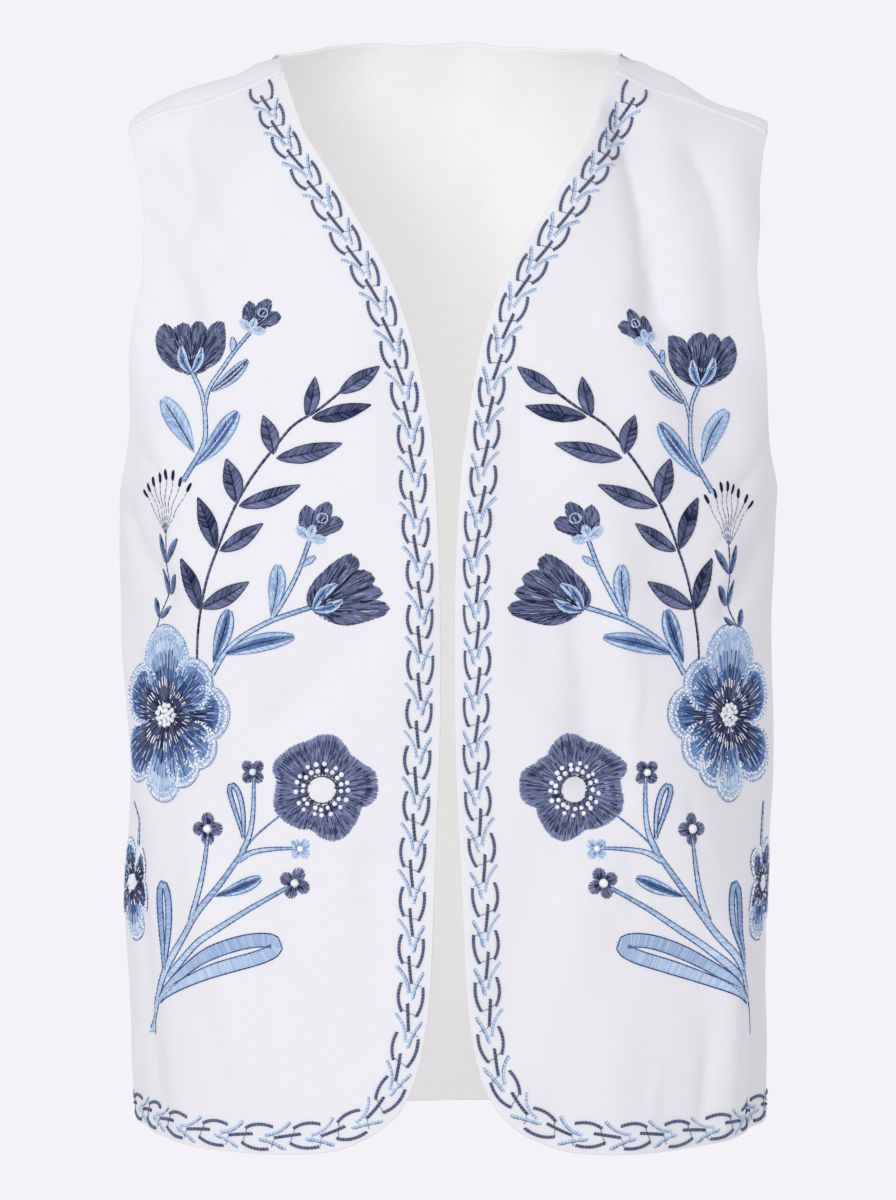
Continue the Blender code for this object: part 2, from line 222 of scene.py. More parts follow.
FOLDS = (
    Fold(FRONT, -0.150, -0.033, -0.122, -0.096, 0.0120, -0.0030),
    Fold(FRONT, -0.164, -0.074, -0.132, -0.140, 0.0120, -0.0026),
    Fold(FRONT, 0.094, -0.020, 0.112, -0.125, 0.0110, -0.0046),
    Fold(FRONT, 0.112, -0.125, 0.139, -0.190, 0.0150, -0.0028),
    Fold(FRONT, 0.136, -0.045, 0.150, -0.140, 0.0130, -0.0022),
    Fold(FRONT, -0.174, -0.236, -0.150, -0.276, 0.0090, -0.0026),
    Fold(FRONT, 0.174, -0.236, 0.150, -0.284, 0.0100, -0.0030),
    Fold(FRONT, 0.070, -0.290, 0.078, -0.372, 0.0100, -0.0026),
    Fold(FRONT, 0.090, -0.300, 0.092, -0.365, 0.0090, 0.0022),
    Fold(FRONT, -0.045, -0.300, -0.090, -0.345, 0.0110, -0.0020),
    Fold(FRONT, -0.168, -0.400, -0.158, -0.540, 0.0110, -0.0026),
    Fold(FRONT, 0.148, -0.470, 0.146, -0.560, 0.0120, 0.0034),
    Fold(FRONT, 0.166, -0.450, 0.164, -0.555, 0.0110, -0.0034),
    Fold(FRONT, -0.040, -0.420, -0.038, -0.510, 0.0120, -0.0020),
    Fold(BACK, -0.150, -0.060, -0.110, -0.150, 0.0150, -0.0030),
    Fold(BACK, 0.150, -0.055, 0.116, -0.140, 0.0150, -0.0032),
    Fold(BACK, -0.165, -0.240, -0.110, -0.300, 0.0130, -0.0032),
    Fold(BACK, 0.165, -0.238, 0.118, -0.310, 0.0120, -0.0030),
    Fold(BACK, -0.050, -0.340, -0.075, -0.440, 0.0160, -0.0028),
    Fold(BACK, 0.060, -0.330, 0.090, -0.425, 0.0160, -0.0030),
    Fold(BACK, -0.120, -0.430, -0.128, -0.555, 0.0150, 0.0032),
    Fold(BACK, 0.100, -0.440, 0.108, -0.560, 0.0150, 0.0030),
)
CREASES = (
    Crease(FRONT, -150, -28, -142, -88, 6, 4.5, -0.8),
    Crease(FRONT, -168, -190, -128, -232, -5, 4.0, -0.7),
    Crease(FRONT, -172, -222, -136, -246, 4, 3.2, -0.6),
    Crease(FRONT, -165, -300, -158, -372, 3, 4.0, 0.6),
    Crease(FRONT, -160, -462, -154, -556, -3, 4.0, 0.6),
    Crease(FRONT, -60, -300, -52, -340, 2, 3.0, -0.4),
    Crease(FRONT, -48, -298, -34, -330, -2, 3.0, -0.4),
    Crease(FRONT, -96, -404, -112, -418, 2, 2.6, -0.4),
    Crease(FRONT, -58, -412, -40, -432, 2, 3.0, -0.4),
    Crease(FRONT, -104, -300, -84, -330, 3, 3.4, 0.4),
    Crease(FRONT, -30, -500, -64, -534, 4, 4.0, -0.4),
    Crease(FRONT, 90, -24, 104, -92, 4, 4.0, -0.9),
    Crease(FRONT, 100, -94, 124, -150, 4, 4.2, -0.7),
    Crease(FRONT, 126, -30, 148, -100, 5, 4.5, -0.7),
    Crease(FRONT, 170, -196, 134, -238, 5, 4.0, -0.8),
    Crease(FRONT, 172, -226, 140, -256, -4, 3.2, -0.7),
    Crease(FRONT, 60, -292, 70, -332, 3, 3.0, -0.6),
    Crease(FRONT, 78, -300, 86, -345, -2, 3.0, -0.6),
    Crease(FRONT, 98, -306, 94, -352, 3, 3.0, 0.5),
    Crease(FRONT, 56, -408, 74, -430, -3, 3.0, -0.5),
    Crease(FRONT, 92, -410, 98, -446, 3, 3.2, -0.5),
    Crease(FRONT, 128, -380, 138, -420, -3, 3.4, -0.5),
    Crease(FRONT, 156, -480, 154, -560, 2, 4.0, 0.8),
    Crease(FRONT, 136, -500, 132, -562, 2, 4.0, -0.7),
    Crease(FRONT, 30, -470, 44, -530, 3, 4.0, -0.4),
    Crease(FRONT, 112, -520, 108, -562, -2, 3.4, 0.4),
    Crease(BACK, -150, -210, -96, -262, 8, 5.0, -0.8),
    Crease(BACK, 152, -214, 102, -268, -8, 5.0, -0.8),
    Crease(BACK, -160, -60, -120, -130, 7, 5.0, -0.8),
    Crease(BACK, 158, -58, 124, -122, -7, 5.0, -0.8),
    Crease(BACK, -40, -320, -58, -400, 6, 6.0, -0.8),
    Crease(BACK, 44, -318, 66, -392, -6, 6.0, -0.8),
    Crease(BACK, -96, -330, -104, -420, 6, 6.0, 0.7),
    Crease(BACK, 112, -336, 116, -430, -6, 6.0, 0.7),
    Crease(BACK, -10, -420, -16, -520, 5, 7.0, 0.6),
    Crease(BACK, 30, -440, 34, -540, -5, 7.0, -0.6),
    Crease(BACK, -80, -470, -84, -548, 4, 6.0, -0.7),
    Crease(BACK, 76, -480, 82, -556, 4, 6.0, 0.6),
    Crease(BACK, -174, -190, -176, -240, 0, 12.0, -1.4),
    Crease(BACK, 174, -190, 176, -240, 0, 12.0, -1.4),
)


def smooth_table(rows: Sequence[NamedTuple], key: str, value: str) -> Curve:
    """Makes a smooth curve through two columns of a table.

    Args:
        rows: The table.
        key: The column that the curve is read by.
        value: The column that it gives.

    Returns:
        A function of an array.
    """
    pairs = sorted((getattr(row, key), getattr(row, value)) for row in rows)
    at = np.array([pair[0] for pair in pairs])
    to = np.array([pair[1] for pair in pairs])
    slopes = np.gradient(to, at)

    def curve(where: Array) -> Array:
        """Reads the curve."""
        where = np.clip(where, at[0], at[-1])
        i = np.clip(np.searchsorted(at, where) - 1, 0, len(at) - 2)
        step = at[i + 1] - at[i]
        t = (where - at[i]) / step
        bend = step * (slopes[i] * (t**3 - 2 * t**2 + t) + slopes[i + 1] * (t**3 - t**2))
        return to[i] * (2 * t**3 - 3 * t**2 + 1) + to[i + 1] * (3 * t**2 - 2 * t**3) + bend

    return curve


def search(low: Array, high: Array, error: Curve) -> Array:
    """Finds where an increasing error function crosses zero.

    Args:
        low: The lowest places.
        high: The highest places.
        error: The error at each place.

    Returns:
        The places of no error.
    """
    for _ in range(40):
        middle = (low + high) / 2
        over = error(middle) > 0
        high = np.where(over, middle, high)
        low = np.where(over, low, middle)
    return (low + high) / 2


def spline(points: Array, steps: int = 12) -> Array:
    """Draws a smooth dense curve through points of a plane.

    Args:
        points: Rows of (x, y).
        steps: Places to each span.

    Returns:
        The dense curve's rows of (x, y).
    """
    points = np.asarray(points, float)
    ahead = np.vstack([2 * points[0] - points[1], points, 2 * points[-1] - points[-2]])
    t = np.linspace(0, 1, steps, endpoint=False)[:, None]
    spans = []
    for a, b, c, d in zip(ahead, ahead[1:], ahead[2:], ahead[3:]):
        bend = (2 * a - 5 * b + 4 * c - d) * t**2 + (3 * b - a - 3 * c + d) * t**3
        spans.append(0.5 * (2 * b + (c - a) * t + bend))
    return np.vstack([*spans, points[-1:]])


def run_of(path: Array) -> Array:
    """The distance travelled at each point of a path."""
    return np.concatenate([[0], np.cumsum(np.linalg.norm(np.diff(path, axis=0), axis=1))])


def length_of(path: Array) -> float:
    """The length of a path."""
    return np.linalg.norm(np.diff(path, axis=0), axis=1).sum()


def read_at(where: Array, at: Array, rows: Array) -> Array:
    """Reads rows of two values, known at some places, at other places."""
    return np.stack([np.interp(where, at, rows[:, k]) for k in range(2)], axis=-1)


def resample(curve: Array, count: int) -> Array:
    """Spaces places evenly along a dense curve of a plane.

    Args:
        curve: Rows of (x, y).
        count: The number of places.

    Returns:
        The places.
    """
    run = run_of(curve)
    return read_at(np.linspace(0, run[-1], count), run, curve)


def ways(path: Array) -> tuple[Array, Array]:
    """Measures the way that a dense path runs.

    Args:
        path: Rows of (x, y).

    Returns:
        The unit steps along it, and those to its left.
    """
    way = np.gradient(path, axis=0)
    way /= np.maximum(np.linalg.norm(way, axis=1, keepdims=True), 1e-9)
    return way, np.stack([-way[:, 1], way[:, 0]], axis=-1)


def polar(angle: Array, reach: Array | float, stretch: float = 1.0) -> Array:
    """Gives rows of (x, y) at angles and distances from the middle."""
    return np.stack([np.cos(angle) * reach * stretch, np.sin(angle) * reach], axis=-1)


def mark(mesh: bpy.types.Mesh, layer: bpy.types.MeshUVLoopLayer, places: Array) -> None:
    """Writes a flat place for each vertex into a layer of a mesh.

    Args:
        mesh: The mesh.
        layer: Its layer.
        places: The places, by vertex.
    """
    corner = np.zeros(len(mesh.loops), np.int32)
    mesh.loops.foreach_get("vertex_index", corner)
    layer.data.foreach_set("uv", places[corner].astype(np.float32).ravel())


def smooth_step(share: Array) -> Array:
    """Eases a share from 0 to 1."""
    share = np.clip(share, 0, 1)
    return share * share * (3 - 2 * share)


@dataclass
class Figure:
    """The general figure that fills the waistcoat, the same one as in the solids."""

    roundness: float = 2.45
    chest_level: float = -0.235
    ridge_level: float = 0.019
    front_slope_round: float = 1.75
    back_slope_round: float = 2.30
    shoulder_run: float = 0.180
    neck_half_width: float = 0.0925
    neck_at_seam: float = 0.0897
    neck_at_ridge: float = 0.0940
    neck_softness: float = 0.035
    shoulder_fall: float = 0.486
    full_slope_rise: float = 0.9
    seam_forward_at_neck: float = 0.028
    seam_forward_at_tip: float = 0.009
    tip_half_width: float = 0.1740
    underarm: float = -0.2255
    armhole_widest: float = -0.1300
    armhole_round: float = 2.60
    front_hem: float = -0.5702
    side_hem: float = -0.5615
    back_hem: float = -0.5645
    corner_middle: int = 5
    ridge: float = field(init=False)

    def __post_init__(self) -> None:
        """Reads the tables."""
        self.ridge = self.chest_level + self.shoulder_run * math.pi / 2
        self.torso_width = smooth_table(SECTIONS, "level", "half_width")
        self.torso_front = smooth_table(SECTIONS, "level", "front_depth")
        self.torso_back = smooth_table(SECTIONS, "level", "back_depth")
        self.arm_width = smooth_table(ARM_GIRTHS, "level", "half_width")

    def tent(self, out: Array) -> Array:
        """How far the sloping shoulder is above the neck's, at a distance from the middle."""
        neck = math.hypot(self.neck_half_width, self.neck_softness)
        return self.shoulder_fall * (neck - np.hypot(out, self.neck_softness))

    def section(self, along: Array) -> tuple[Array, Array, Array, Array]:
        """Measures the form's cross-section.

        Args:
            along: Distances along the form.

        Returns:
            Its half width, depth, level and share of the shoulder's slope.
        """
        folded = np.where(along > self.ridge, 2 * self.ridge - along, along)
        in_front = along > self.ridge
        climb = np.clip((folded - self.chest_level) / self.shoulder_run, 0, math.pi / 2)
        rise = np.sin(climb)
        height = self.ridge_level - self.chest_level
        level = np.where(climb > 0, self.chest_level + height * rise, folded)
        width = np.where(climb > 0, self.arm_width(level), self.torso_width(level))
        slope_round = np.where(in_front, self.front_slope_round, self.back_slope_round)
        closing = np.clip(1 - rise**slope_round, 0, 1) ** (1 / slope_round)
        depth = np.where(in_front, -self.torso_front(level), self.torso_back(level)) * closing
        return width, depth, level, smooth_step(rise / self.full_slope_rise)

    def point(self, around: Array, along: Array) -> Array:
        """Gives points of the smooth form.

        Args:
            around: Angles, below 0 on the wearer's right.
            along: Distances along the form.

        Returns:
            The points.
        """
        width, depth, level, share = self.section(along)
        out = width * np.abs(np.sin(around)) ** (2 / self.roundness)
        forward = depth * np.abs(np.cos(around)) ** (2 / self.roundness)
        side = np.where(around < 0, -1.0, 1.0)
        return np.stack([out * side, forward, level + share * self.tent(out)], axis=-1)

    def around_at(self, out: Array, along: Array) -> Array:
        """The angle whose point is this far from the middle."""
        width = self.section(along)[0]
        return np.arcsin(np.clip(out / width, 0, 1) ** (self.roundness / 2))

    def along_of(self, folded: Array, face: Face) -> Array:
        """The distance along the form on one face, from the distance up the back."""
        return folded if face is BACK else 2 * self.ridge - folded

    def place_at(self, out: Array, height: Array, face: Face) -> Array:
        """Finds places by their distance from the middle and height.

        Args:
            out: Distances from the middle.
            height: Heights.
            face: The front or the back.

        Returns:
            Rows of (around, along).
        """
        out, height = np.broadcast_arrays(np.asarray(out, float), np.asarray(height, float))

        def error(folded: Array) -> Array:
            """How much too high a place is."""
            along = self.along_of(folded, face)
            return self.point(self.around_at(out, along), along)[..., 2] - height

        low, high = np.full(out.shape, SECTIONS[0].level), np.full(out.shape, self.ridge)
        along = self.along_of(search(low, high, error), face)
        return np.stack([self.around_at(out, along), along], axis=-1)

    def seam_curve(self, outward: Array) -> Array:
        """Finds places on the shoulder seam.

        Args:
            outward: Shares of the way from the neck to the shoulder's tip.

        Returns:
            Rows of (around, along).
        """
        out = self.neck_at_seam + outward * (self.tip_half_width - self.neck_at_seam)
        reach = self.seam_forward_at_tip - self.seam_forward_at_neck
        forward = self.seam_forward_at_neck + outward * reach

        def error(along: Array) -> Array:
            """How much too far forward a place is."""
            return -self.point(self.around_at(out, along), along)[..., 1] - forward

        low = np.full(out.shape, self.ridge)
        high = np.full(out.shape, 2 * self.ridge - self.chest_level)
        along = search(low, high, error)
        return np.stack([self.around_at(out, along), along], axis=-1)

    def armhole_places(self, height: Array, reach: Array, face: Face) -> Array:
        """Finds places on the armhole.

        Args:
            height: Heights.
            reach: Distances in front of or behind the side.
            face: The front or the back.

        Returns:
            Rows of (around, along).
        """

        def angle(along: Array) -> Array:
            """The angle at the stated reach."""
            depth = np.maximum(np.abs(self.section(along)[1]), 1e-9)
            return np.arccos(np.clip(reach / depth, 0, 1) ** (self.roundness / 2))

        def error(folded: Array) -> Array:
            """How much too high a place is."""
            along = self.along_of(folded, face)
            return self.point(angle(along), along)[..., 2] - height

        low = np.full(height.shape, self.chest_level - 0.01)
        along = self.along_of(search(low, np.full(height.shape, self.ridge), error), face)
        return np.stack([angle(along), along], axis=-1)

    def armhole_curve(self, face: Face) -> Array:
        """The armhole of one face as a dense curve, from the underarm to the shoulder's tip."""
        reaches = np.array([row.front if face is FRONT else row.back for row in ARMHOLE])
        turn = np.linspace(0, math.pi / 2, 24)[:-1]
        reach = reaches[0] * np.sin(turn) ** (2 / self.armhole_round)
        drop = np.cos(turn) ** (2 / self.armhole_round)
        height = self.armhole_widest + (self.underarm - self.armhole_widest) * drop
        lower = self.armhole_places(height, reach, face)
        upper = self.armhole_places(np.array([row.height for row in ARMHOLE]), reaches, face)
        places = [lower, upper]
        if face is BACK:
            tip = np.array([self.tip_half_width])
            places.append(np.array([[self.around_at(tip, np.array([self.ridge]))[0], self.ridge]]))
        return spline(np.vstack([*places, self.seam_curve(np.array([1.0]))]), 12)

    def front_hem_height(self, out: Array) -> Array:
        """The front hem's height at a distance from the middle."""
        level_end = CORNER[-1].out
        side = self.section(np.array([self.side_hem]))[0][0]
        share = np.clip((out - level_end) / (side - level_end), 0, 1)
        return self.front_hem + (self.side_hem - self.front_hem) * share * share

    def front_outline(self, hand: int) -> tuple[Array, Array]:
        """Draws the outline of a front.

        Args:
            hand: -1 for the wearer's right, 1 for the left.

        Returns:
            The edge from the neck to the round corner's middle, and the rest to the side.
        """
        column = "right" if hand < 0 else "left"
        out = np.array([getattr(row, column) for row in FRONT_EDGES] + [row.out for row in CORNER])
        height = np.array([row.height for row in FRONT_EDGES + CORNER])
        outline = np.vstack(
            [self.seam_curve(np.array([0.0])), self.place_at(out, height, FRONT)]
        )
        split = len(FRONT_EDGES) + self.corner_middle
        side_foot = 2 * self.ridge - self.side_hem
        widest = self.section(np.array([side_foot]))[0][0]
        hem_out = np.linspace(out[-1], widest * 0.999, 20)[1:-1]
        hem = self.place_at(hem_out, self.front_hem_height(hem_out), FRONT)
        rest = np.vstack([outline[split:], hem, [[SIDE, side_foot]]])
        return spline(outline[: split + 1], 12), spline(rest, 12)

    def evenly(self, curve: Array, count: int) -> Array:
        """Spaces places evenly, as measured on the form, along a dense curve of places."""
        run = run_of(self.point(curve[:, 0], curve[:, 1]))
        return read_at(np.linspace(0, run[-1], count), run, curve)


@dataclass
class Drape:
    """How the cloth leaves the smooth form: its folds, creases and soft ripples."""

    figure: Figure
    ripple_height: float = 0.00042
    crease_share: float = 2.3
    fold_share: float = 1.6
    ripple_count: int = 26
    seed: int = 5

    def __post_init__(self) -> None:
        """Lays the folds and creases on the form."""
        self.lines = [self._fold_line(fold) for fold in FOLDS]
        self.lines += [self._crease_line(crease) for crease in CREASES]
        draw = np.random.default_rng(self.seed)
        turn = draw.uniform(0, 2 * math.pi, self.ripple_count)
        length = draw.uniform(0.022, 0.085, self.ripple_count)
        across = np.stack([np.cos(turn), np.sin(turn) * 0.8, 0.42 * np.sin(2.3 * turn)], axis=-1)
        self.waves = across * 2 * math.pi / length[:, None]
        self.phases = draw.uniform(0, 2 * math.pi, self.ripple_count)
        self.heights = self.ripple_height * (length / 0.06) ** 1.2

    def _on_form(self, out: Array, height: Array, face: Face) -> Array:
        """Points of the smooth form at signed distances from the middle."""
        places = self.figure.place_at(np.abs(out), height, face)
        points = self.figure.point(places[:, 0], places[:, 1])
        points[:, 0] *= np.where(out < 0, -1, 1)
        return points

    def _fold_line(self, fold: Fold) -> tuple[Array, float, float, bool]:
        """The line, width, depth and fading of a fold."""
        out = np.array([fold.out_a, fold.out_b])
        height = np.array([fold.height_a, fold.height_b])
        return self._on_form(out, height, fold.face), fold.width, self.fold_share * fold.depth, False

    def _crease_line(self, crease: Crease) -> tuple[Array, float, float, bool]:
        """The line, width, depth and fading of a crease."""
        t = np.linspace(0, 1, 7)
        run, rise = crease.out_b - crease.out_a, crease.height_b - crease.height_a
        length = math.hypot(run, rise)
        bow = 4 * crease.bow * t * (1 - t)
        out = (crease.out_a + run * t - bow * rise / length) * MM
        height = (crease.height_a + rise * t + bow * run / length) * MM
        points = self._on_form(out, height, crease.face)
        depth = self.crease_share * crease.depth * MM
        return points, crease.width * MM, depth, True

    def depth_at(self, points: Array) -> Array:
        """Measures how far out the cloth is moved.

        Args:
            points: Points of the smooth form.

        Returns:
            The move along the outward normal at each.
        """
        flat = points.reshape(-1, 3)
        moved = np.zeros(len(flat))
        for line, width, depth, fades in self.lines:
            reach = 3 * width
            low, high = line.min(axis=0) - reach, line.max(axis=0) + reach
            near = np.nonzero(np.all((flat > low) & (flat < high), axis=1))[0]
            if len(near) == 0:
                continue
            away = np.full(len(near), np.inf)
            run = np.zeros(len(near))
            spans = len(line) - 1
            for k in range(spans):
                start, step = line[k], line[k + 1] - line[k]
                share = np.clip((flat[near] - start) @ step / (step @ step), 0, 1)
                gap = np.linalg.norm(flat[near] - start - share[:, None] * step, axis=1)
                closer = gap < away
                away = np.where(closer, gap, away)
                run = np.where(closer, (k + share) / spans, run)
            fade = np.sin(math.pi * np.clip(run, 0.02, 0.98)) ** 0.7 if fades else 1.0
            moved[near] += depth * fade * np.exp(-((away / width) ** 2))
        for wave, phase, height in zip(self.waves, self.phases, self.heights):
            moved += height * np.sin(flat @ wave + phase)
        return moved.reshape(points.shape[:-1])

    def normals(self, around: Array, along: Array) -> Array:
        """Gives the smooth form's outward normals.

        Args:
            around: Angles, below 0 on the wearer's right.
            along: Distances along the form.

        Returns:
            The unit normals.
        """
        step, lift = 0.004, 0.001
        hand = np.where(around < 0, -1.0, 1.0)
        inside = hand * np.minimum(np.abs(around), SIDE - step)
        inside = np.where(np.abs(inside) < 2 * step, hand * 2 * step, inside)
        point = self.figure.point
        across = point(inside + step, along) - point(inside - step, along)
        up = point(inside, along + lift) - point(inside, along - lift)
        normal = np.cross(up, across)
        return normal / np.linalg.norm(normal, axis=-1, keepdims=True)

    def cloth(self, around: Array, along: Array) -> Array:
        """Gives the outer face of the cloth.

        Args:
            around: Angles, below 0 on the wearer's right.
            along: Distances along the form.

        Returns:
            The points.
        """
        points = self.figure.point(around, along)
        return points + self.normals(around, along) * self.depth_at(points)[..., None]


@dataclass
class ClothMap:
    """One face of the waistcoat on one side, measured flat, so that needlework can lie on it."""

    drape: Drape
    face: Face
    hand: int
    low: float
    high: float
    step: float = 0.001
    widest: float = 0.250

    def __post_init__(self) -> None:
        """Measures the cloth on a fine flat grid."""
        figure = self.drape.figure
        heights = np.arange(self.low, self.high, self.step)
        angles = SIDE * np.linspace(0, 1, 90) ** 0.9
        angle, height = np.meshgrid(angles, heights)

        def error(folded: Array) -> Array:
            """How much too high a place is."""
            return figure.point(angle, figure.along_of(folded, self.face))[..., 2] - height

        low = np.full(angle.shape, SECTIONS[0].level)
        along = figure.along_of(
            search(low, np.full(angle.shape, figure.ridge), error), self.face
        )
        points = figure.point(angle, along)
        gaps = np.linalg.norm(np.diff(points, axis=1), axis=-1)
        run = np.concatenate([np.zeros((len(heights), 1)), np.cumsum(gaps, axis=1)], axis=1)
        self.outs = np.arange(0, self.widest, self.step)
        self.heights = heights
        self.angle = np.array([np.interp(self.outs, r, angles) for r in run])
        self.along = np.array([np.interp(self.outs, r, a) for r, a in zip(run, along)])
        self.points = self.drape.cloth(self.angle * self.hand, self.along)
        up = np.gradient(self.points, axis=0)
        across = np.gradient(self.points, axis=1)
        normal = np.cross(up, across)
        outward = np.sign((normal * self.points).sum(axis=-1).mean())
        length = np.maximum(np.linalg.norm(normal, axis=-1, keepdims=True), 1e-12)
        self.normal = outward * normal / length

    def flat(self, places: Array) -> Array:
        """Measures places on the form flat.

        Args:
            places: Rows of (around, along).

        Returns:
            Rows of (out, height).
        """
        height = self.drape.figure.point(places[:, 0], places[:, 1])[:, 2]
        rows = np.clip(np.round((height - self.low) / self.step), 0, len(self.heights) - 1)
        rows = rows.astype(int)
        out = [np.interp(a, self.angle[i], self.outs) for a, i in zip(places[:, 0], rows)]
        return np.stack([out, height], axis=-1)

    def rule(self, path: Array) -> tuple[Array, Array]:
        """Measures along and across a path on the cloth itself.

        Args:
            path: Rows of (out, height) in millimetres.

        Returns:
            The distance along the cloth at each place, and the flat step that is one
            millimetre across the path, to its right.
        """
        reach = 3.0
        level = np.zeros(len(path))

        def at(out: float, height: float) -> Array:
            """The cloth beside the path."""
            return self.lift((path[:, 0] + out) * MM, (path[:, 1] + height) * MM, level) / MM

        over = (at(reach, 0) - at(-reach, 0)) / (2 * reach)
        up = (at(0, reach) - at(0, -reach)) / (2 * reach)
        a, b, c = (over * over).sum(axis=1), (over * up).sum(axis=1), (up * up).sum(axis=1)
        kernel = np.hanning(61) / np.hanning(61).sum()
        a, b, c = (np.convolve(np.pad(v, 30, "edge"), kernel, "valid") for v in (a, b, c))
        step = np.diff(path, axis=0)
        mean = [(v[1:] + v[:-1]) / 2 for v in (a, b, c)]
        length = np.sqrt(
            mean[0] * step[:, 0] ** 2 + 2 * mean[1] * step[:, 0] * step[:, 1] + mean[2] * step[:, 1] ** 2
        )
        run = np.concatenate([[0], np.cumsum(length)])
        way = np.gradient(path, axis=0) / np.gradient(run)[:, None]
        cover = np.sqrt(a * c - b * b)
        aside = np.stack([b * way[:, 0] + c * way[:, 1], -(a * way[:, 0] + b * way[:, 1])], axis=-1)
        return run, aside / cover[:, None]

    def lift(self, out: Array, height: Array, raised: Array) -> Array:
        """Lays flat places on the cloth.

        Args:
            out: Distances round the cloth from the middle.
            height: Heights.
            raised: Distances above the cloth.

        Returns:
            The points.
        """
        column = np.clip(out / self.step, 0, len(self.outs) - 1.001)
        row = np.clip((height - self.low) / self.step, 0, len(self.heights) - 1.001)
        i, j = row.astype(int), column.astype(int)
        a, b = (row - i)[..., None], (column - j)[..., None]

        def read(grid: Array) -> Array:
            """Reads a grid between its places."""
            lower = grid[i, j] * (1 - b) + grid[i, j + 1] * b
            return lower * (1 - a) + (grid[i + 1, j] * (1 - b) + grid[i + 1, j + 1] * b) * a

        return read(self.points) + read(self.normal) * raised[..., None]


def add_node(
    tree: bpy.types.NodeTree, kind: str, values: dict[str | int, object] | None = None
) -> bpy.types.Node:
    """Adds a shader node.

    Args:
        tree: The material's nodes.
        kind: The node's kind.
        values: The constant values of its sockets, by name or number.

    Returns:
        The node.
    """
    node = tree.nodes.new(f"ShaderNode{kind}")
    for socket, value in (values or {}).items():
        node.inputs[socket].default_value = value
    return node


@dataclass(frozen=True)
class DenimFinish:
    """White cotton twill: fine slanting ribs, a few slubs and a soft, matte face."""

    name: str = "denim_white"
    colour: tuple[float, float, float] = (0.850, 0.845, 0.880)
    roughness: float = 0.85
    sheen: float = 0.25
    shine: float = 0.25
    rib: float = 0.0011
    rib_turn: float = 27
    rib_depth: float = 0.16

    def make(self) -> bpy.types.Material:
        """Makes the material.

        Returns:
            The material.
        """
        material = bpy.data.materials.new(self.name)
        material.use_nodes = True
        tree = material.node_tree
        shader = tree.nodes["Principled BSDF"]
        shader.inputs["Roughness"].default_value = self.roughness
        shader.inputs["Sheen Weight"].default_value = self.sheen
        shader.inputs["Sheen Roughness"].default_value = 0.5
        shader.inputs["Specular IOR Level"].default_value = self.shine
        place = add_node(tree, "UVMap").outputs["UV"]
        turn = add_node(tree, "Mapping", {"Rotation": (0, 0, math.radians(self.rib_turn))})
        ribs = add_node(tree, "TexWave", {
            "Scale": 1 / self.rib / 3.2, "Distortion": 1.2, "Detail": 2, "Detail Scale": 3,
        })
        slubs = add_node(tree, "TexNoise", {"Scale": 260, "Detail": 4})
        both = add_node(tree, "Math", {1: 0.9})
        both.operation = "MULTIPLY_ADD"
        bump = add_node(tree, "Bump", {"Strength": self.rib_depth, "Distance": 0.0004})
        tint = add_node(tree, "TexNoise", {"Scale": 900})
        dark, light = ([min(1.0, c * share) for c in self.colour] for share in (0.965, 1.03))
        mix = add_node(tree, "Mix", {MIX_A: (*dark, 1), MIX_B: (*light, 1)})
        mix.data_type = "RGBA"
        for source, target in (
            (place, turn.inputs["Vector"]), (turn.outputs["Vector"], ribs.inputs["Vector"]),
            (place, slubs.inputs["Vector"]), (slubs.outputs["Fac"], both.inputs[0]),
            (ribs.outputs["Fac"], both.inputs[2]), (both.outputs["Value"], bump.inputs["Height"]),
            (bump.outputs["Normal"], shader.inputs["Normal"]), (place, tint.inputs["Vector"]),
            (tint.outputs["Fac"], mix.inputs[0]), (mix.outputs[2], shader.inputs["Base Color"]),
        ):
            tree.links.new(source, target)
        return material


@dataclass(frozen=True)
class ThreadFinish:
    """Glossy embroidery cotton, whose tone changes from stitch to stitch. The light end of its tone is
    in part painted sheen, the glint of the glossy thread put into the colour.
    """

    name: str
    dark: tuple[float, float, float]
    light: tuple[float, float, float]
    roughness: float = 0.48
    shine: float = 0.09

    def make(self) -> bpy.types.Material:
        """Makes the material.

        Returns:
            The material.
        """
        material = bpy.data.materials.new(self.name)
        material.use_nodes = True
        tree = material.node_tree
        shader = tree.nodes["Principled BSDF"]
        shader.inputs["Roughness"].default_value = self.roughness
        shader.inputs["Specular IOR Level"].default_value = self.shine
        tone = add_node(tree, "Attribute")
        tone.attribute_name = "tone"
        mix = add_node(tree, "Mix", {MIX_A: (*self.dark, 1), MIX_B: (*self.light, 1)})
        mix.data_type = "RGBA"
        place = add_node(tree, "UVMap")
        ply = add_node(tree, "TexWave", {"Scale": 0.6})
        ply.bands_direction = "DIAGONAL"
        bump = add_node(tree, "Bump", {"Strength": 0.25, "Distance": 0.0001})
        for source, target in (
            (tone.outputs["Fac"], mix.inputs[0]), (mix.outputs[2], shader.inputs["Base Color"]),
            (place.outputs["UV"], ply.inputs["Vector"]), (ply.outputs["Fac"], bump.inputs["Height"]),
            (bump.outputs["Normal"], shader.inputs["Normal"]),
        ):
            tree.links.new(source, target)
        return material


# Each thread runs from its dark colour to a light colour that is in part painted sheen.
THREADS = {
    NAVY: ThreadFinish("thread_navy", (0.008, 0.015, 0.058), (0.255, 0.290, 0.490)),
    BLUE: ThreadFinish("thread_blue", (0.022, 0.065, 0.220), (0.240, 0.390, 0.690)),
    LIGHT: ThreadFinish("thread_light_blue", (0.150, 0.290, 0.570), (0.660, 0.800, 0.960)),
    WHITE: ThreadFinish("thread_white", (0.560, 0.640, 0.790), (0.950, 0.950, 0.965)),
}


def deselect() -> None:
    """Leaves nothing selected, so that an operator acts on new pieces alone."""
    for thing in list(bpy.context.selected_objects):
        thing.select_set(False)


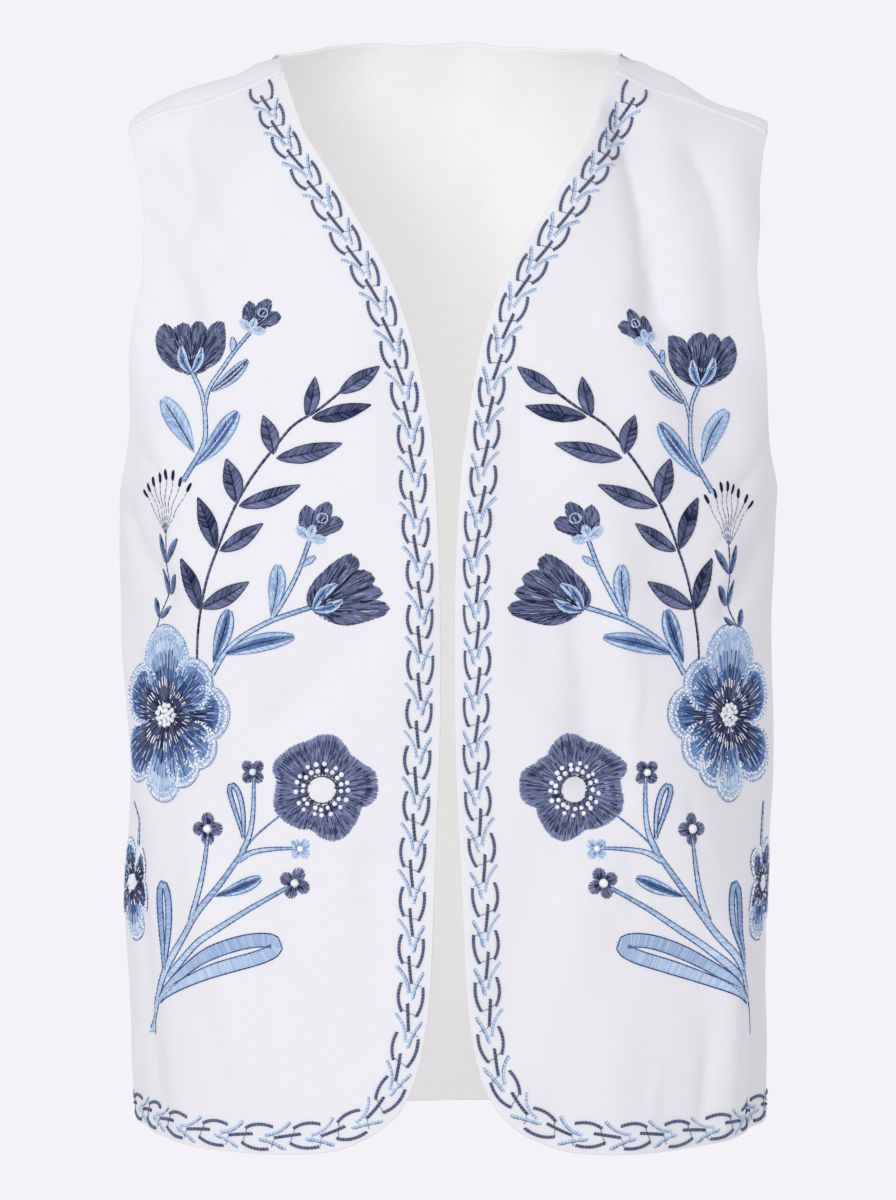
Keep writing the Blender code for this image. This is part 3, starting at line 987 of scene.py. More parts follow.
@dataclass
class Stitch:
    """One raised stitch, modelled once. Its copies are laid along the drawn lines."""

    lengths: int = 4
    end_width: float = 0.55
    end_height: float = 0.15

    def model(self) -> None:
        """Models the stitch on a unit square and keeps its shape."""
        deselect()
        bpy.ops.mesh.primitive_grid_add(
            x_subdivisions=3, y_subdivisions=self.lengths, size=2, location=(0, 0, 0)
        )
        stitch = bpy.context.active_object
        self._pick(stitch, lambda co: abs(co.x) < 0.9)
        bpy.ops.transform.translate(value=(0, 0, 1))
        bpy.ops.transform.resize(value=(1.5, 1, 1))
        self._pick(stitch, lambda co: abs(co.y) > 0.99)
        bpy.ops.transform.resize(
            value=(self.end_width, 1, self.end_height), center_override=(0, 0, 0)
        )
        bpy.ops.object.mode_set(mode="OBJECT")
        mesh = stitch.data
        self.points = np.array([vertex.co[:] for vertex in mesh.vertices])
        self.faces = np.array([face.vertices[:] for face in mesh.polygons])
        bpy.data.objects.remove(stitch)

    @staticmethod
    def _pick(stitch: bpy.types.Object, test: Callable) -> None:
        """Selects the vertices that pass a test, in edit mode."""
        bpy.ops.object.mode_set(mode="EDIT")
        bpy.ops.mesh.select_mode(type="VERT")
        bpy.ops.mesh.select_all(action="DESELECT")
        bpy.ops.object.mode_set(mode="OBJECT")
        for vertex in stitch.data.vertices:
            vertex.select = test(vertex.co)
        bpy.ops.object.mode_set(mode="EDIT")


@dataclass
class Knot:
    """One round knot of wound thread, modelled once."""

    def model(self) -> None:
        """Models the knot at unit size and keeps its shape."""
        deselect()
        bpy.ops.mesh.primitive_uv_sphere_add(segments=10, ring_count=6, radius=1)
        knot = bpy.context.active_object
        bpy.ops.object.mode_set(mode="EDIT")
        bpy.ops.mesh.select_all(action="SELECT")
        bpy.ops.mesh.bisect(plane_co=(0, 0, -0.25), plane_no=(0, 0, 1), clear_inner=True)
        bpy.ops.object.mode_set(mode="OBJECT")
        mesh = knot.data
        self.points = np.array([vertex.co[:] for vertex in mesh.vertices])
        turn = np.arctan2(self.points[:, 1], self.points[:, 0])
        around = np.hypot(self.points[:, 0], self.points[:, 1])
        self.points[:, 2] += 0.16 * np.cos(2 * turn + 2.2 * around) * around
        self.faces = [tuple(face.vertices) for face in mesh.polygons]
        bpy.data.objects.remove(knot)


class Laid(NamedTuple):
    """Stitches of one kind, drawn flat in millimetres."""

    start: Array
    middle: Array
    end: Array
    width: Array
    height: Array
    tone: Array
    over: float


@dataclass
class Needlework:
    """A drawing in stitches, collected thread by thread, in millimetres."""

    seed: int = 1
    over: float = 0.0
    satin: dict[Thread, list[Laid]] = field(default_factory=dict)
    knots: dict[Thread, list[tuple[float, float, float, float]]] = field(default_factory=dict)

    def __post_init__(self) -> None:
        """Seeds the small unevenness of the hand."""
        self.draw = np.random.default_rng(self.seed)

    def sew(
        self,
        thread: Thread,
        start: Array,
        end: Array,
        width: float = 0.8,
        height: float = 0.42,
        tone: Array | float = 0.5,
        spread: float = 0.22,
        bow: float = 0.0,
    ) -> None:
        """Adds stitches, which lie over others where the drawing's `over` says so.

        Args:
            thread: The thread.
            start: Rows of (out, height) where the stitches start.
            end: Rows where they end.
            width: How wide a stitch is.
            height: How far it stands above the cloth.
            tone: From 0, dark, to 1, light.
            spread: How much the tone changes from stitch to stitch.
            bow: How far a stitch's middle lies to its side, as a share of its length.
        """
        start, end = np.atleast_2d(np.asarray(start, float)), np.atleast_2d(np.asarray(end, float))
        count = len(start)
        run = end - start
        middle = (start + end) / 2 + bow * np.stack([-run[:, 1], run[:, 0]], axis=-1)
        tones = np.clip(tone + self.draw.uniform(-spread, spread, count), 0, 1)
        heights = height * self.draw.uniform(0.85, 1.15, count)
        laid = Laid(start, middle, end, np.full(count, width), heights, tones, self.over)
        self.satin.setdefault(thread, []).append(laid)

    def knot(self, thread: Thread, places: Array, radius: float, tone: float = 0.75) -> None:
        """Adds knots of one size at rows of (out, height)."""
        for place in np.atleast_2d(places):
            size = radius * self.draw.uniform(0.88, 1.12)
            shade = float(np.clip(tone + self.draw.uniform(-0.2, 0.2), 0, 1))
            self.knots.setdefault(thread, []).append((place[0], place[1], size, shade))

    def line(
        self,
        thread: Thread,
        path: Sequence[Point],
        width: float,
        offset: float = 0.0,
        tone: float = 0.5,
    ) -> None:
        """Sews a line of stem stitches along a path.

        Args:
            thread: The thread.
            path: The points that the smooth line passes.
            width: How wide it is.
            offset: How far the line lies to the side of the path.
            tone: From 0, dark, to 1, light.
        """
        stitch, overlap, height = 5.0, 0.25, 0.42
        dense = spline(np.array(path, float), 16)
        length = length_of(dense)
        count = max(2, round(length / stitch / (1 - overlap)) + 1)
        at = resample(dense, 4 * count + 1)
        at = at + offset * ways(at)[1]
        first = np.arange(0, 4 * count - 3, 4)
        last = np.minimum(first + 4 + round(4 * overlap), 4 * count)
        self.sew(thread, at[first], at[last], width, height, tone)

    def band(
        self,
        thread: Thread,
        path: Array,
        width: float,
        tone: float,
        height: float,
    ) -> None:
        """Sews a raised band of short slanting stitches across a path, every other stitch painted
        lighter and the rest darker, as highlights and shade on the glossy thread.

        Args:
            thread: The thread.
            path: Places along the band's middle line.
            width: How wide the band is.
            tone: From 0, dark, to 1, light.
            height: How far it stands above the cloth.
        """
        pitch, slant, painted_highlight = 0.85, 0.45, 0.40
        length = length_of(path)
        count = max(3, round(length / pitch))
        at = resample(path, count)
        way, side = ways(at)
        side = side * width / 2
        lean = way * slant * width / 2
        # Painted highlights: every other stitch is lighter and the rest darker, for the sheen along the
        # band.
        tones = tone + painted_highlight * (np.arange(count) % 2 - 0.5)
        self.sew(thread, at - side - lean, at + side + lean, pitch * 1.15, height, tones, 0.12)

    def stem(self, path: Sequence[Point], foot: float, tip: float) -> None:
        """Sews a stem: pale satin across it, and a darker line along each side.

        Args:
            path: The points that it passes, from its foot.
            foot: Its width there.
            tip: Its width at the other end.
        """
        pitch, side_stitch = 0.62, 3.2
        dense = spline(np.array(path, float), 16)
        length = length_of(dense)
        count = max(4, round(length / pitch))
        at = resample(dense, count)
        way, side = ways(at)
        half = np.linspace(foot, tip, count)[:, None] / 2
        slant = 0.9 * half
        shade = 0.62 + 0.2 * np.sin(np.linspace(0, 5, count))
        self.sew(LIGHT, at - side * half - way * slant, at + side * half + way * slant,
                 0.85, 0.50, shade, 0.30)
        for sign in (-1, 1):
            edge = at + sign * side * half * 1.02
            step = max(2, round(side_stitch / pitch))
            first = np.arange(0, count - 1, step)
            last = np.minimum(first + step + 1, count - 1)
            self.sew(BLUE, edge[first], edge[last], 0.66, 0.52, 0.16, 0.2)

    def leaf(
        self,
        foot: Point,
        tip: Point,
        width: float,
        bend: float,
        halves: tuple[Colour, Colour],
        rib: Colour | None = None,
        rim: Colour | None = None,
        blunt: float = 0.0,
        core: Colour | None = None,
    ) -> None:
        """Sews a leaf in two halves of slanting satin.

        Args:
            foot: Where it leaves its stem.
            tip: Its tip.
            width: Its width.
            bend: How far its middle line bows to the side, as a share of its length.
            halves: The thread and tone of each half. Where both halves are of one thread, their two
                tones are painted sheen and painted shade, for the two ways the stitches slant.
            rib: The thread and tone of its middle line.
            rim: The thread and tone of its outline.
            blunt: From 0, pointed, to 1, round at the tip.
            core: The thread and tone of its narrower second layer.
        """
        foot_at, tip_at = np.array(foot, float), np.array(tip, float)
        run = tip_at - foot_at
        length = float(np.hypot(*run))
        side = np.array([-run[1], run[0]]) / length

        def axis(t: Array) -> Array:
            """The leaf's middle line."""
            bow = 4 * bend * length * t * (1 - t)
            return foot_at + run * t[:, None] + side * bow[:, None]

        def half_width(t: Array) -> Array:
            """Half the leaf's width."""
            pointed = np.sin(math.pi * np.clip(t, 0, 1) ** 0.92) ** 0.95
            peak = 0.68
            swell = np.where(
                t < peak, np.sin(math.pi / 2 * np.clip(t / peak, 0, 1)) ** 1.15,
                np.sqrt(np.clip(1 - ((t - peak) / (1 - peak)) ** 2, 0, 1)),
            )
            return width / 2 * ((1 - blunt) * pointed + blunt * swell)

        count = max(8, round(length / 0.55))
        t = np.linspace(0.0, 0.93, count)
        ahead = np.minimum(t + 0.16 * (1 - t) + 0.05, 1.0)
        layers = [(1.0, 0.46, halves)]
        if core is not None:
            layers.append((0.52, 0.66, (core, core)))
        for share, height, threads in layers:
            for sign, (thread, tone) in zip((1, -1), threads):
                reach = share * half_width(ahead) * (1 + self.draw.uniform(-0.06, 0.08, count))
                edge = axis(ahead) + sign * side * reach[:, None]
                shade = tone + 0.12 * np.sin(t * 9)
                self.sew(thread, axis(t), edge, 0.78, height, shade, 0.34, bow=0.04 * sign)
        for finish, where in ((rim, (1, -1)), (rib, (0,))):
            if finish is None:
                continue
            for sign in where:
                t = np.linspace(0.04, 0.97 if sign else 0.86, max(4, round(length / 3.0)))
                path = axis(t) + sign * side * half_width(t)[:, None]
                self.sew(finish[0], path[:-1], path[1:] + 0.25 * (path[1:] - path[:-1]),
                         0.50 if sign else 0.70, 0.74, finish[1], 0.15)

    def loop(
        self, foot: Point, tip: Point, width: float, band: float, bend: float, tone: float
    ) -> None:
        """Sews an open loop leaf: a satin band round a bare middle.

        Args:
            foot: Where it leaves its stem.
            tip: Its far end.
            width: Its width over both bands.
            band: The width of a band.
            bend: How far it bows to the side, as a share of its length.
            tone: The band's tone.
        """
        foot_at, tip_at = np.array(foot, float), np.array(tip, float)
        run = tip_at - foot_at
        length = float(np.hypot(*run))
        side = np.array([-run[1], run[0]]) / length
        t = np.linspace(0, 1, 60)
        spread = (width - band) / 2
        swell = spread * np.sin(math.pi / 2 * np.clip(t / 0.78, 0, 1)) ** 1.1
        swell = np.where(t > 0.78, spread * np.sqrt(np.clip(1 - ((t - 0.78) / 0.22) ** 2, 0, 1)), swell)
        reach = length - band / 2
        middle = foot_at + run / length * (reach * t)[:, None]
        middle = middle + side * (4 * bend * length * t * (1 - t))[:, None]
        path = np.vstack([middle + side * swell[:, None], (middle - side * swell[:, None])[::-1]])
        span = length_of(path)
        count = round(span / 0.60)
        at = resample(path, count)
        way, across = ways(at)
        half = band / 2 * np.interp(np.linspace(0, 1, count), [0, 0.3, 0.7, 1], [0.5, 1, 1, 0.5])
        half = half[:, None]
        shade = tone + 0.14 * np.sin(np.linspace(0, 7, count))
        self.sew(LIGHT, at - across * half - way * 0.5, at + across * half + way * 0.5,
                 0.85, 0.50, shade, 0.20)
        for sign, thread_tone in ((-1, 0.20), (1, 0.05)):
            edge = at + sign * across * half * 1.03
            first = np.arange(0, count - 2, 4)
            last = np.minimum(first + 5, count - 1)
            self.sew(BLUE, edge[first], edge[last], 0.80, 0.55, thread_tone, 0.2)

    def rays(
        self,
        centre: Point,
        outline: Curve,
        angles: tuple[float, float],
        rows: Sequence[tuple[float, float, Thread, float]],
        inner: float = 0.0,
        pitch: float = 0.62,
        ragged: float = 0.8,
        lift: float = 0.0,
        swirl: float = 0.0,
        stretch: float = 1.0,
        spread: float = 0.42,
    ) -> None:
        """Fills a shape with rows of stitches that fan out from a point.

        Args:
            centre: The point.
            outline: The shape's reach at each angle.
            angles: The first and last angle, in radians.
            rows: For each row, the share of the way out where it starts and ends, its thread
                and its tone.
            inner: The reach where the first row starts.
            pitch: How far apart the stitches are.
            ragged: How uneven the stitches' ends are.
            lift: How much higher the stitches stand, over other needlework.
            swirl: How far the stitches lean, in radians.
            stretch: How much wider the shape is than its outline says.
            spread: How much the tone changes from stitch to stitch.
        """
        for first, last, thread, tone in rows:
            dense = np.linspace(angles[0], angles[1], 720)
            reach = outline(dense)
            middle = inner + (reach - inner) * (first * 0.35 + last * 0.65)
            run = np.concatenate([[0], np.cumsum(np.diff(dense) * (middle[1:] + middle[:-1]) / 2)])
            count = max(2, round(run[-1] / pitch))
            at = np.interp(np.linspace(0, run[-1], count), run, dense)
            at = at + self.draw.uniform(-0.25, 0.25, count) * pitch / np.maximum(middle.mean(), 1)
            reach = outline(at)
            keep = reach > inner + 0.6
            at, reach = at[keep], reach[keep]
            a = inner + (reach - inner) * first + self.draw.uniform(-ragged, ragged, len(at))
            b = inner + (reach - inner) * last
            uneven = ragged if last < 1 else 0.25 * ragged
            b = b + self.draw.uniform(-uneven, uneven, len(at))
            a = np.maximum(a, 0.1)
            start, end = polar(at, a, stretch) + centre, polar(at + swirl, b, stretch) + centre
            self.sew(thread, start, end, 0.74, 0.44 + lift, tone, spread)

    def meshes(self, cloth: ClothMap, stitches: tuple[Stitch, Knot], name: str) -> list:
        """Lays the drawing on the cloth.

        Args:
            cloth: The cloth.
            stitches: The modelled stitch and knot.
            name: What the pieces' names start with.

        Returns:
            Pairs of a thread and its object.
        """
        made = []
        for thread in Thread:
            points, faces, tones, marks, total = [], [], [], [], 0
            for laid in self.satin.get(thread, []):
                shape, uv = self._lay(cloth, stitches[0], laid)
                count, size = shape.shape[:2]
                points.append(shape.reshape(-1, 3))
                marks.append(uv.reshape(-1, 2))
                tones.append(np.repeat(laid.tone, size))
                step = total + np.arange(count)[:, None, None] * size
                faces.extend((stitches[0].faces[None] + step).reshape(-1, 4).tolist())
                total += count * size
            for out, height, size, tone in self.knots.get(thread, []):
                shape = stitches[1].points
                turn = self.draw.uniform(0, 2 * math.pi)
                x = (shape[:, 0] * math.cos(turn) - shape[:, 1] * math.sin(turn)) * size
                y = (shape[:, 0] * math.sin(turn) + shape[:, 1] * math.cos(turn)) * size
                raised = (shape[:, 2] * 0.8 + 0.15) * size + 0.45
                points.append(cloth.lift((out + x) * MM, (height + y) * MM, raised * MM))
                marks.append(np.stack([turn + x, y], axis=-1))
                tones.append(np.full(len(shape), tone))
                faces.extend([tuple(total + k for k in face) for face in stitches[1].faces])
                total += len(shape)
            if total == 0:
                continue
            obj = self._object(f"{name}_{thread.value}", points, faces, tones, marks)
            made.append((thread, obj))
        return made

    @staticmethod
    def _lay(cloth: ClothMap, stitch: Stitch, laid: Laid) -> tuple[Array, Array]:
        """Bends copies of a stitch along drawn lines.

        Args:
            cloth: The cloth.
            stitch: The modelled stitch.
            laid: The drawn lines.

        Returns:
            The copies' points, and their marks for the ply.
        """
        t = (stitch.points[:, 1] + 1) / 2
        a, b, c = laid.start[:, None], laid.middle[:, None], laid.end[:, None]
        s = t[None, :, None]
        centre = a * (1 - s) * (1 - 2 * s) + 4 * b * s * (1 - s) + c * s * (2 * s - 1)
        way = a * (4 * s - 3) + b * (4 - 8 * s) + c * (4 * s - 1)
        way = way / np.maximum(np.linalg.norm(way, axis=-1, keepdims=True), 1e-6)
        across = np.stack([-way[..., 1], way[..., 0]], axis=-1)
        flat = centre + across * (stitch.points[:, 0][None, :] * laid.width[:, None] / 2)[..., None]
        raised = stitch.points[:, 2][None, :] * laid.height[:, None] - 0.05 + laid.over
        points = cloth.lift(flat[..., 0] * MM, flat[..., 1] * MM, raised * MM)
        length = np.linalg.norm(laid.end - laid.start, axis=1)
        uv = np.stack([t[None, :] * length[:, None], np.broadcast_to(
            stitch.points[:, 0][None, :], raised.shape)], axis=-1)
        return points, uv

    @staticmethod
    def _object(name: str, points: list, faces: list, tones: list, marks: list) -> bpy.types.Object:
        """Makes one object of laid stitches.

        Args:
            name: Its name.
            points: The stitches' points.
            faces: Their faces.
            tones: The tone at each point.
            marks: The ply's mark at each point.

        Returns:
            The object.
        """
        mesh = bpy.data.meshes.new(name)
        mesh.from_pydata(np.vstack(points), [], faces)
        tone = mesh.attributes.new("tone", "FLOAT", "POINT")
        tone.data.foreach_set("value", np.concatenate(tones).astype(np.float32))
        mark(mesh, mesh.uv_layers.new(name="ply"), np.vstack(marks))
        mesh.shade_smooth()
        obj = bpy.data.objects.new(name, mesh)
        bpy.context.scene.collection.objects.link(obj)
        face = mesh.polygons[len(mesh.polygons) // 2]
        if face.normal.dot(face.center) < 0:
            mesh.flip_normals()
        return obj


@dataclass
class Panel:
    """One cut piece of denim, laid on the form as a shell."""

    name: str
    node: str
    drape: Drape
    flat: tuple[float, float]
    area: float
    cloth: float = 0.0020
    rim: float = 0.0007
    seam_gap: float = 0.0001

    def corner_rows(self) -> Array:
        """The panel's grid of places; each kind of panel draws its own."""
        raise NotImplementedError

    def shoulder(self, count: int, shift: float) -> Array:
        """Even places along the shoulder seam, moved down the front by a distance."""
        figure = self.drape.figure
        places = figure.evenly(figure.seam_curve(np.linspace(0, 1, 160)), count)
        places[:, 1] += shift / CLOTH_PER_ALONG
        return places

    def side(self, face: Face, seam_rows: int, arm_rows: int) -> Array:
        """The side seam and armhole, hem first.

        Args:
            face: The front or the back.
            seam_rows: Spans along the seam.
            arm_rows: Spans along the armhole.

        Returns:
            Rows of (around, along).
        """
        figure = self.drape.figure
        top = figure.armhole_places(np.array([figure.underarm]), np.zeros(1), face)[0, 1]
        along = np.linspace(figure.along_of(figure.side_hem, face), top, seam_rows + 1)
        depth = np.abs(figure.section(along)[1])
        inset = (self.seam_gap / 2 / depth) ** (figure.roundness / 2)
        seam = np.stack([SIDE - inset, along], axis=-1)
        arm = figure.evenly(figure.armhole_curve(face), arm_rows + 1)
        return np.vstack([seam, arm[1:]])

    @staticmethod
    def relax(grid: Array, rounds: int) -> Array:
        """Spreads the inner places of a grid between its sides, so that no cell folds over.

        Args:
            grid: The grid of places.
            rounds: How often each place is moved.

        Returns:
            The grid.
        """
        scale = np.array([0.12, 1.0])
        grid = grid * scale
        for _ in range(rounds):
            down = (grid[2:, 1:-1] - grid[:-2, 1:-1]) / 2
            over = (grid[1:-1, 2:] - grid[1:-1, :-2]) / 2
            a = (over * over).sum(axis=-1, keepdims=True)
            b = (down * over).sum(axis=-1, keepdims=True)
            c = (down * down).sum(axis=-1, keepdims=True)
            twist = grid[2:, 2:] - grid[2:, :-2] - grid[:-2, 2:] + grid[:-2, :-2]
            near = a * (grid[2:, 1:-1] + grid[:-2, 1:-1]) + c * (grid[1:-1, 2:] + grid[1:-1, :-2])
            grid[1:-1, 1:-1] = (near - b * twist / 2) / (2 * (a + c) + 1e-15)
        return grid / scale

    @classmethod
    def fill(cls, sides: tuple[Array, Array, Array, Array]) -> Array:
        """Fills a grid from its four sides.

        Args:
            sides: The hem, the top, the middle or edge, and the side, each as places.

        Returns:
            The grid of places.
        """
        hem, top, left, right = sides
        rows, columns = len(left), len(hem)
        levels = [(rows, columns)]
        while min(levels[-1]) > 24:
            levels.append((levels[-1][0] // 2 + 1, levels[-1][1] // 2 + 1))
        grid = None
        for r, c in reversed(levels):
            pick_r = np.linspace(0, rows - 1, r)
            pick_c = np.linspace(0, columns - 1, c)

            def thin(side: Array, at: Array) -> Array:
                """Reads a side at fewer places."""
                return read_at(at, np.arange(len(side)), side)

            if grid is None:
                finer = cls.coons(thin(hem, pick_c), thin(top, pick_c), thin(left, pick_r),
                                  thin(right, pick_r))
            else:
                old_r = np.linspace(0, grid.shape[0] - 1, r)
                old_c = np.linspace(0, grid.shape[1] - 1, c)
                i = np.minimum(old_r.astype(int), grid.shape[0] - 2)
                j = np.minimum(old_c.astype(int), grid.shape[1] - 2)
                a, b = (old_r - i)[:, None, None], (old_c - j)[None, :, None]
                low = grid[i][:, j] * (1 - b) + grid[i][:, j + 1] * b
                high = grid[i + 1][:, j] * (1 - b) + grid[i + 1][:, j + 1] * b
                finer = low * (1 - a) + high * a
            finer[0], finer[-1] = thin(hem, pick_c), thin(top, pick_c)
            finer[:, 0], finer[:, -1] = thin(left, pick_r), thin(right, pick_r)
            grid = cls.relax(finer, 900 if grid is None else 260)
        return grid

    @staticmethod
    def coons(hem: Array, top: Array, left: Array, right: Array) -> Array:
        """A first guess of a grid, halfway between blends of its opposite sides."""
        down = np.linspace(0, 1, len(left))[:, None, None]
        across = np.linspace(0, 1, len(hem))[None, :, None]
        upright = (1 - down) * hem[None] + down * top[None]
        level = (1 - across) * left[:, None] + across * right[:, None]
        return (upright + level) / 2

    def make(self, denim: bpy.types.Material, inside: bpy.types.Material) -> bpy.types.Object:
        """Makes the panel's shell.

        Args:
            denim: The finish of its face.
            inside: The finish of its inside, warmer in its own colour and made paler with painted light,
                for the light that shines through the thin cloth.

        Returns:
            The object.
        """
        places = self.corner_rows()
        points = self.drape.cloth(places[..., 0], places[..., 1])
        rows, columns = points.shape[:2]
        deselect()
        bpy.ops.mesh.primitive_grid_add(
            x_subdivisions=columns - 1, y_subdivisions=rows - 1, size=1, location=(0, 0, 0)
        )
        obj = bpy.context.active_object
        obj.name = obj.data.name = self.name
        mesh = obj.data
        mesh.vertices.foreach_set("co", points.astype(np.float32).ravel())
        mark(mesh, mesh.uv_layers[0], self.flat_places(points).reshape(-1, 2))
        mesh.update()
        middle = mesh.polygons[len(mesh.polygons) // 2]
        if middle.normal.y * (1 if self.is_back() else -1) < 0:
            mesh.flip_normals()
        mesh.materials.append(denim)
        mesh.materials.append(inside)
        wall = obj.modifiers.new("wall", "SOLIDIFY")
        wall.thickness = self.cloth
        wall.offset = -1
        wall.material_offset = 1
        wall.material_offset_rim = 0
        bpy.ops.object.modifier_apply(modifier=wall.name)
        edge = obj.modifiers.new("edge", "BEVEL")
        edge.limit_method = "ANGLE"
        edge.angle_limit = math.radians(55)
        edge.width = self.rim
        edge.segments = 3
        bpy.ops.object.modifier_apply(modifier=edge.name)
        bpy.ops.object.shade_smooth()
        return obj

    def is_back(self) -> bool:
        """Whether the panel is the back."""
        return self.node == "back"

    @staticmethod
    def flat_places(points: Array) -> Array:
        """Measures a grid of points as cloth, across and up, for the weave.

        Args:
            points: The grid.

        Returns:
            The flat places.
        """
        across = np.linalg.norm(np.diff(points, axis=1), axis=-1)
        up = np.linalg.norm(np.diff(points, axis=0), axis=-1)
        across = np.concatenate([np.zeros((len(points), 1)), np.cumsum(across, axis=1)], axis=1)
        up = np.concatenate([np.zeros((1, points.shape[1])), np.cumsum(up, axis=0)], axis=0)
        return np.stack([across, up], axis=-1)


@dataclass
class FrontPanel(Panel):
    """One front, from its edge to the side seam."""

    hand: int = -1
    columns: int = 84
    seam_rows: int = 110
    arm_rows: int = 84

    def corner_rows(self) -> Array:
        """The front's grid of places."""
        figure = self.drape.figure
        edge, hem = figure.front_outline(self.hand)
        rows = self.seam_rows + self.arm_rows + 1
        left = figure.evenly(edge, rows)[::-1]
        right = self.side(FRONT, self.seam_rows, self.arm_rows)
        top = self.shoulder(self.columns + 1, self.seam_gap / 2)
        grid = self.fill((figure.evenly(hem, self.columns + 1), top, left, right))
        grid[..., 0] *= self.hand
        return grid


@dataclass
class BackPanel(Panel):
    """The back, in one piece over both shoulders to the seams in front of the ridge."""

    neck_columns: int = 34
    shoulder_columns: int = 42
    seam_rows: int = 96
    arm_rows: int = 74

    def corner_rows(self) -> Array:
        """The whole back's grid of places."""
        figure = self.drape.figure
        out = np.array([row.out for row in BACK_NECK])
        height = np.array([row.height for row in BACK_NECK])
        neck = figure.place_at(out, height, BACK)
        ridge = np.array([figure.ridge])
        over = figure.around_at(np.array([figure.neck_at_ridge]), ridge)
        end = figure.seam_curve(np.array([0.0]))
        neckline = spline(np.vstack([neck, [[over[0], figure.ridge]], end]), 40)
        share = np.linspace(0, 1, 90)
        rise = figure.side_hem - figure.back_hem
        hem = np.stack([SIDE * share, figure.back_hem + rise * share**3], axis=-1)
        columns = self.neck_columns + self.shoulder_columns + 1
        shoulder = self.shoulder(self.shoulder_columns + 1, -self.seam_gap / 2)
        top = np.vstack([figure.evenly(neckline, self.neck_columns + 1)[:-1], shoulder])
        right = self.side(BACK, self.seam_rows, self.arm_rows)
        rows = len(right)
        left = np.stack([np.zeros(rows), np.linspace(hem[0, 1], top[0, 1], rows)], axis=-1)
        half = self.fill((figure.evenly(hem, columns), top, left, right))
        mirrored = half[:, :0:-1].copy()
        mirrored[..., 0] *= -1
        return np.concatenate([mirrored, half], axis=1)


def lobes(circles: Sequence[tuple[float, float, float]]) -> Curve:
    """Makes an outline of overlapping round lobes.

    Args:
        circles: For each lobe, its centre's angle in degrees, its distance and its radius.

    Returns:
        The reach at each angle.
    """

    def reach(angle: Array) -> Array:
        """The outline's reach."""
        far = np.zeros(np.shape(angle))
        for at, distance, radius in circles:
            turn = angle - math.radians(at)
            beside = distance * np.sin(turn)
            hit = (np.abs(beside) < radius) & (np.cos(turn) > 0)
            depth = np.sqrt(np.clip(radius**2 - beside**2, 0, None))
            far = np.where(hit, np.maximum(far, distance * np.cos(turn) + depth), far)
        return far

    return reach


def edge_of(rows: Sequence[Point], turn: float = 0.0, size: float = 1.0) -> Curve:
    """Makes an outline from the reaches of its points.

    Args:
        rows: For each point, its angle in degrees and its reach.
        turn: How far the outline is turned, in degrees.
        size: Its scale.

    Returns:
        The reach at each angle.
    """
    at = np.radians([row[0] + turn for row in rows])
    far = size * np.array([row[1] for row in rows])
    return lambda angle: np.interp(angle, at, far)


TULIP_EDGE = (
    (-100, 2.5), (-90, 3.4), (-77, 9.9), (-67, 18.4), (-56, 24.8), (-50, 28.0), (-44, 30.3), (-38, 32.0),
    (-32, 32.6), (-28.5, 30.0), (-26.7, 27.0), (-24.5, 28.3), (-15.3, 29.5), (-9, 28.0), (-6.6, 25.0),
    (-5.4, 27.0), (1.2, 29.0), (10.2, 28.0), (15.3, 25.9), (18.9, 24.3), (21.5, 27.5), (27.6, 31.1),
    (33.3, 31.9), (38.4, 28.9), (47, 25.2), (57, 21.4), (69, 16.3), (77, 9.6), (90, 3.5), (100, 2.5),
)
SIDE_TULIP_EDGE = (
    (-108, 3.6), (-83, 8.7), (-64, 13.7), (-48, 20.5), (-37, 29.2), (-31.4, 34.1), (-28, 36.1),
    (-20.6, 36.2), (-16, 34.4), (-14.3, 31.8), (-10.9, 34.5), (-4.6, 36.8), (0.8, 37.3), (4.7, 34.6),
    (8.9, 37.4), (14.1, 38.6), (18, 34.0), (20.8, 38.6), (25.4, 41.2), (30.8, 38.5), (36.3, 31.8),
    (43.4, 25.5), (52, 19.2), (59.8, 12.4), (66, 6.3), (75, 3.0),
)
BUD_EDGE = (
    (-80, 4.0), (-73, 6.4), (-50.6, 12.9), (-35.3, 15.8), (-24, 14.0), (-20.3, 12.8), (-14, 15.9),
    (-3, 19.3), (5, 19.1), (12, 16.2), (15, 14.3), (23.6, 17.2), (36, 18.0), (44.6, 15.1), (49, 9.8),
    (56, 5.0),
)
POPPY_EDGE = (
    (-180, 29.8), (-172.7, 29.3), (-163.9, 26.9), (-156, 22.9), (-151.4, 23.3), (-131.7, 25.5),
    (-115.3, 27.8), (-102, 27.8), (-89.5, 25.1), (-74.5, 21.7), (-61.2, 23.6), (-41, 26.2),
    (-24.2, 28.3), (-14.6, 27.6), (1, 25.6), (11.6, 25.4), (19.6, 29.1), (27.5, 30.2), (40.1, 28.9),
    (57, 27.7), (73.3, 26.7), (87.7, 28.9), (96.7, 29.7), (106.3, 29.1), (118.8, 26.5), (129.1, 24.0),
    (147.7, 26.1), (161.1, 30.2), (180, 29.8),
)

# Leaves whose halves are of one thread get a lighter and a darker half: painted sheen where the slanting
# stitches catch the light, painted shade on the other half.
LIGHT_LEAF = ((LIGHT, 0.80), (LIGHT, 0.60))
DEEP_LEAF = ((LIGHT, 0.75), (LIGHT, 0.55))
DARK_LEAF = ((NAVY, 0.60), (NAVY, 0.38))
BLACK_LEAF = ((NAVY, 0.14), (NAVY, 0.30))
SMALL_LEAF = ((NAVY, 0.30), (BLUE, 0.60))


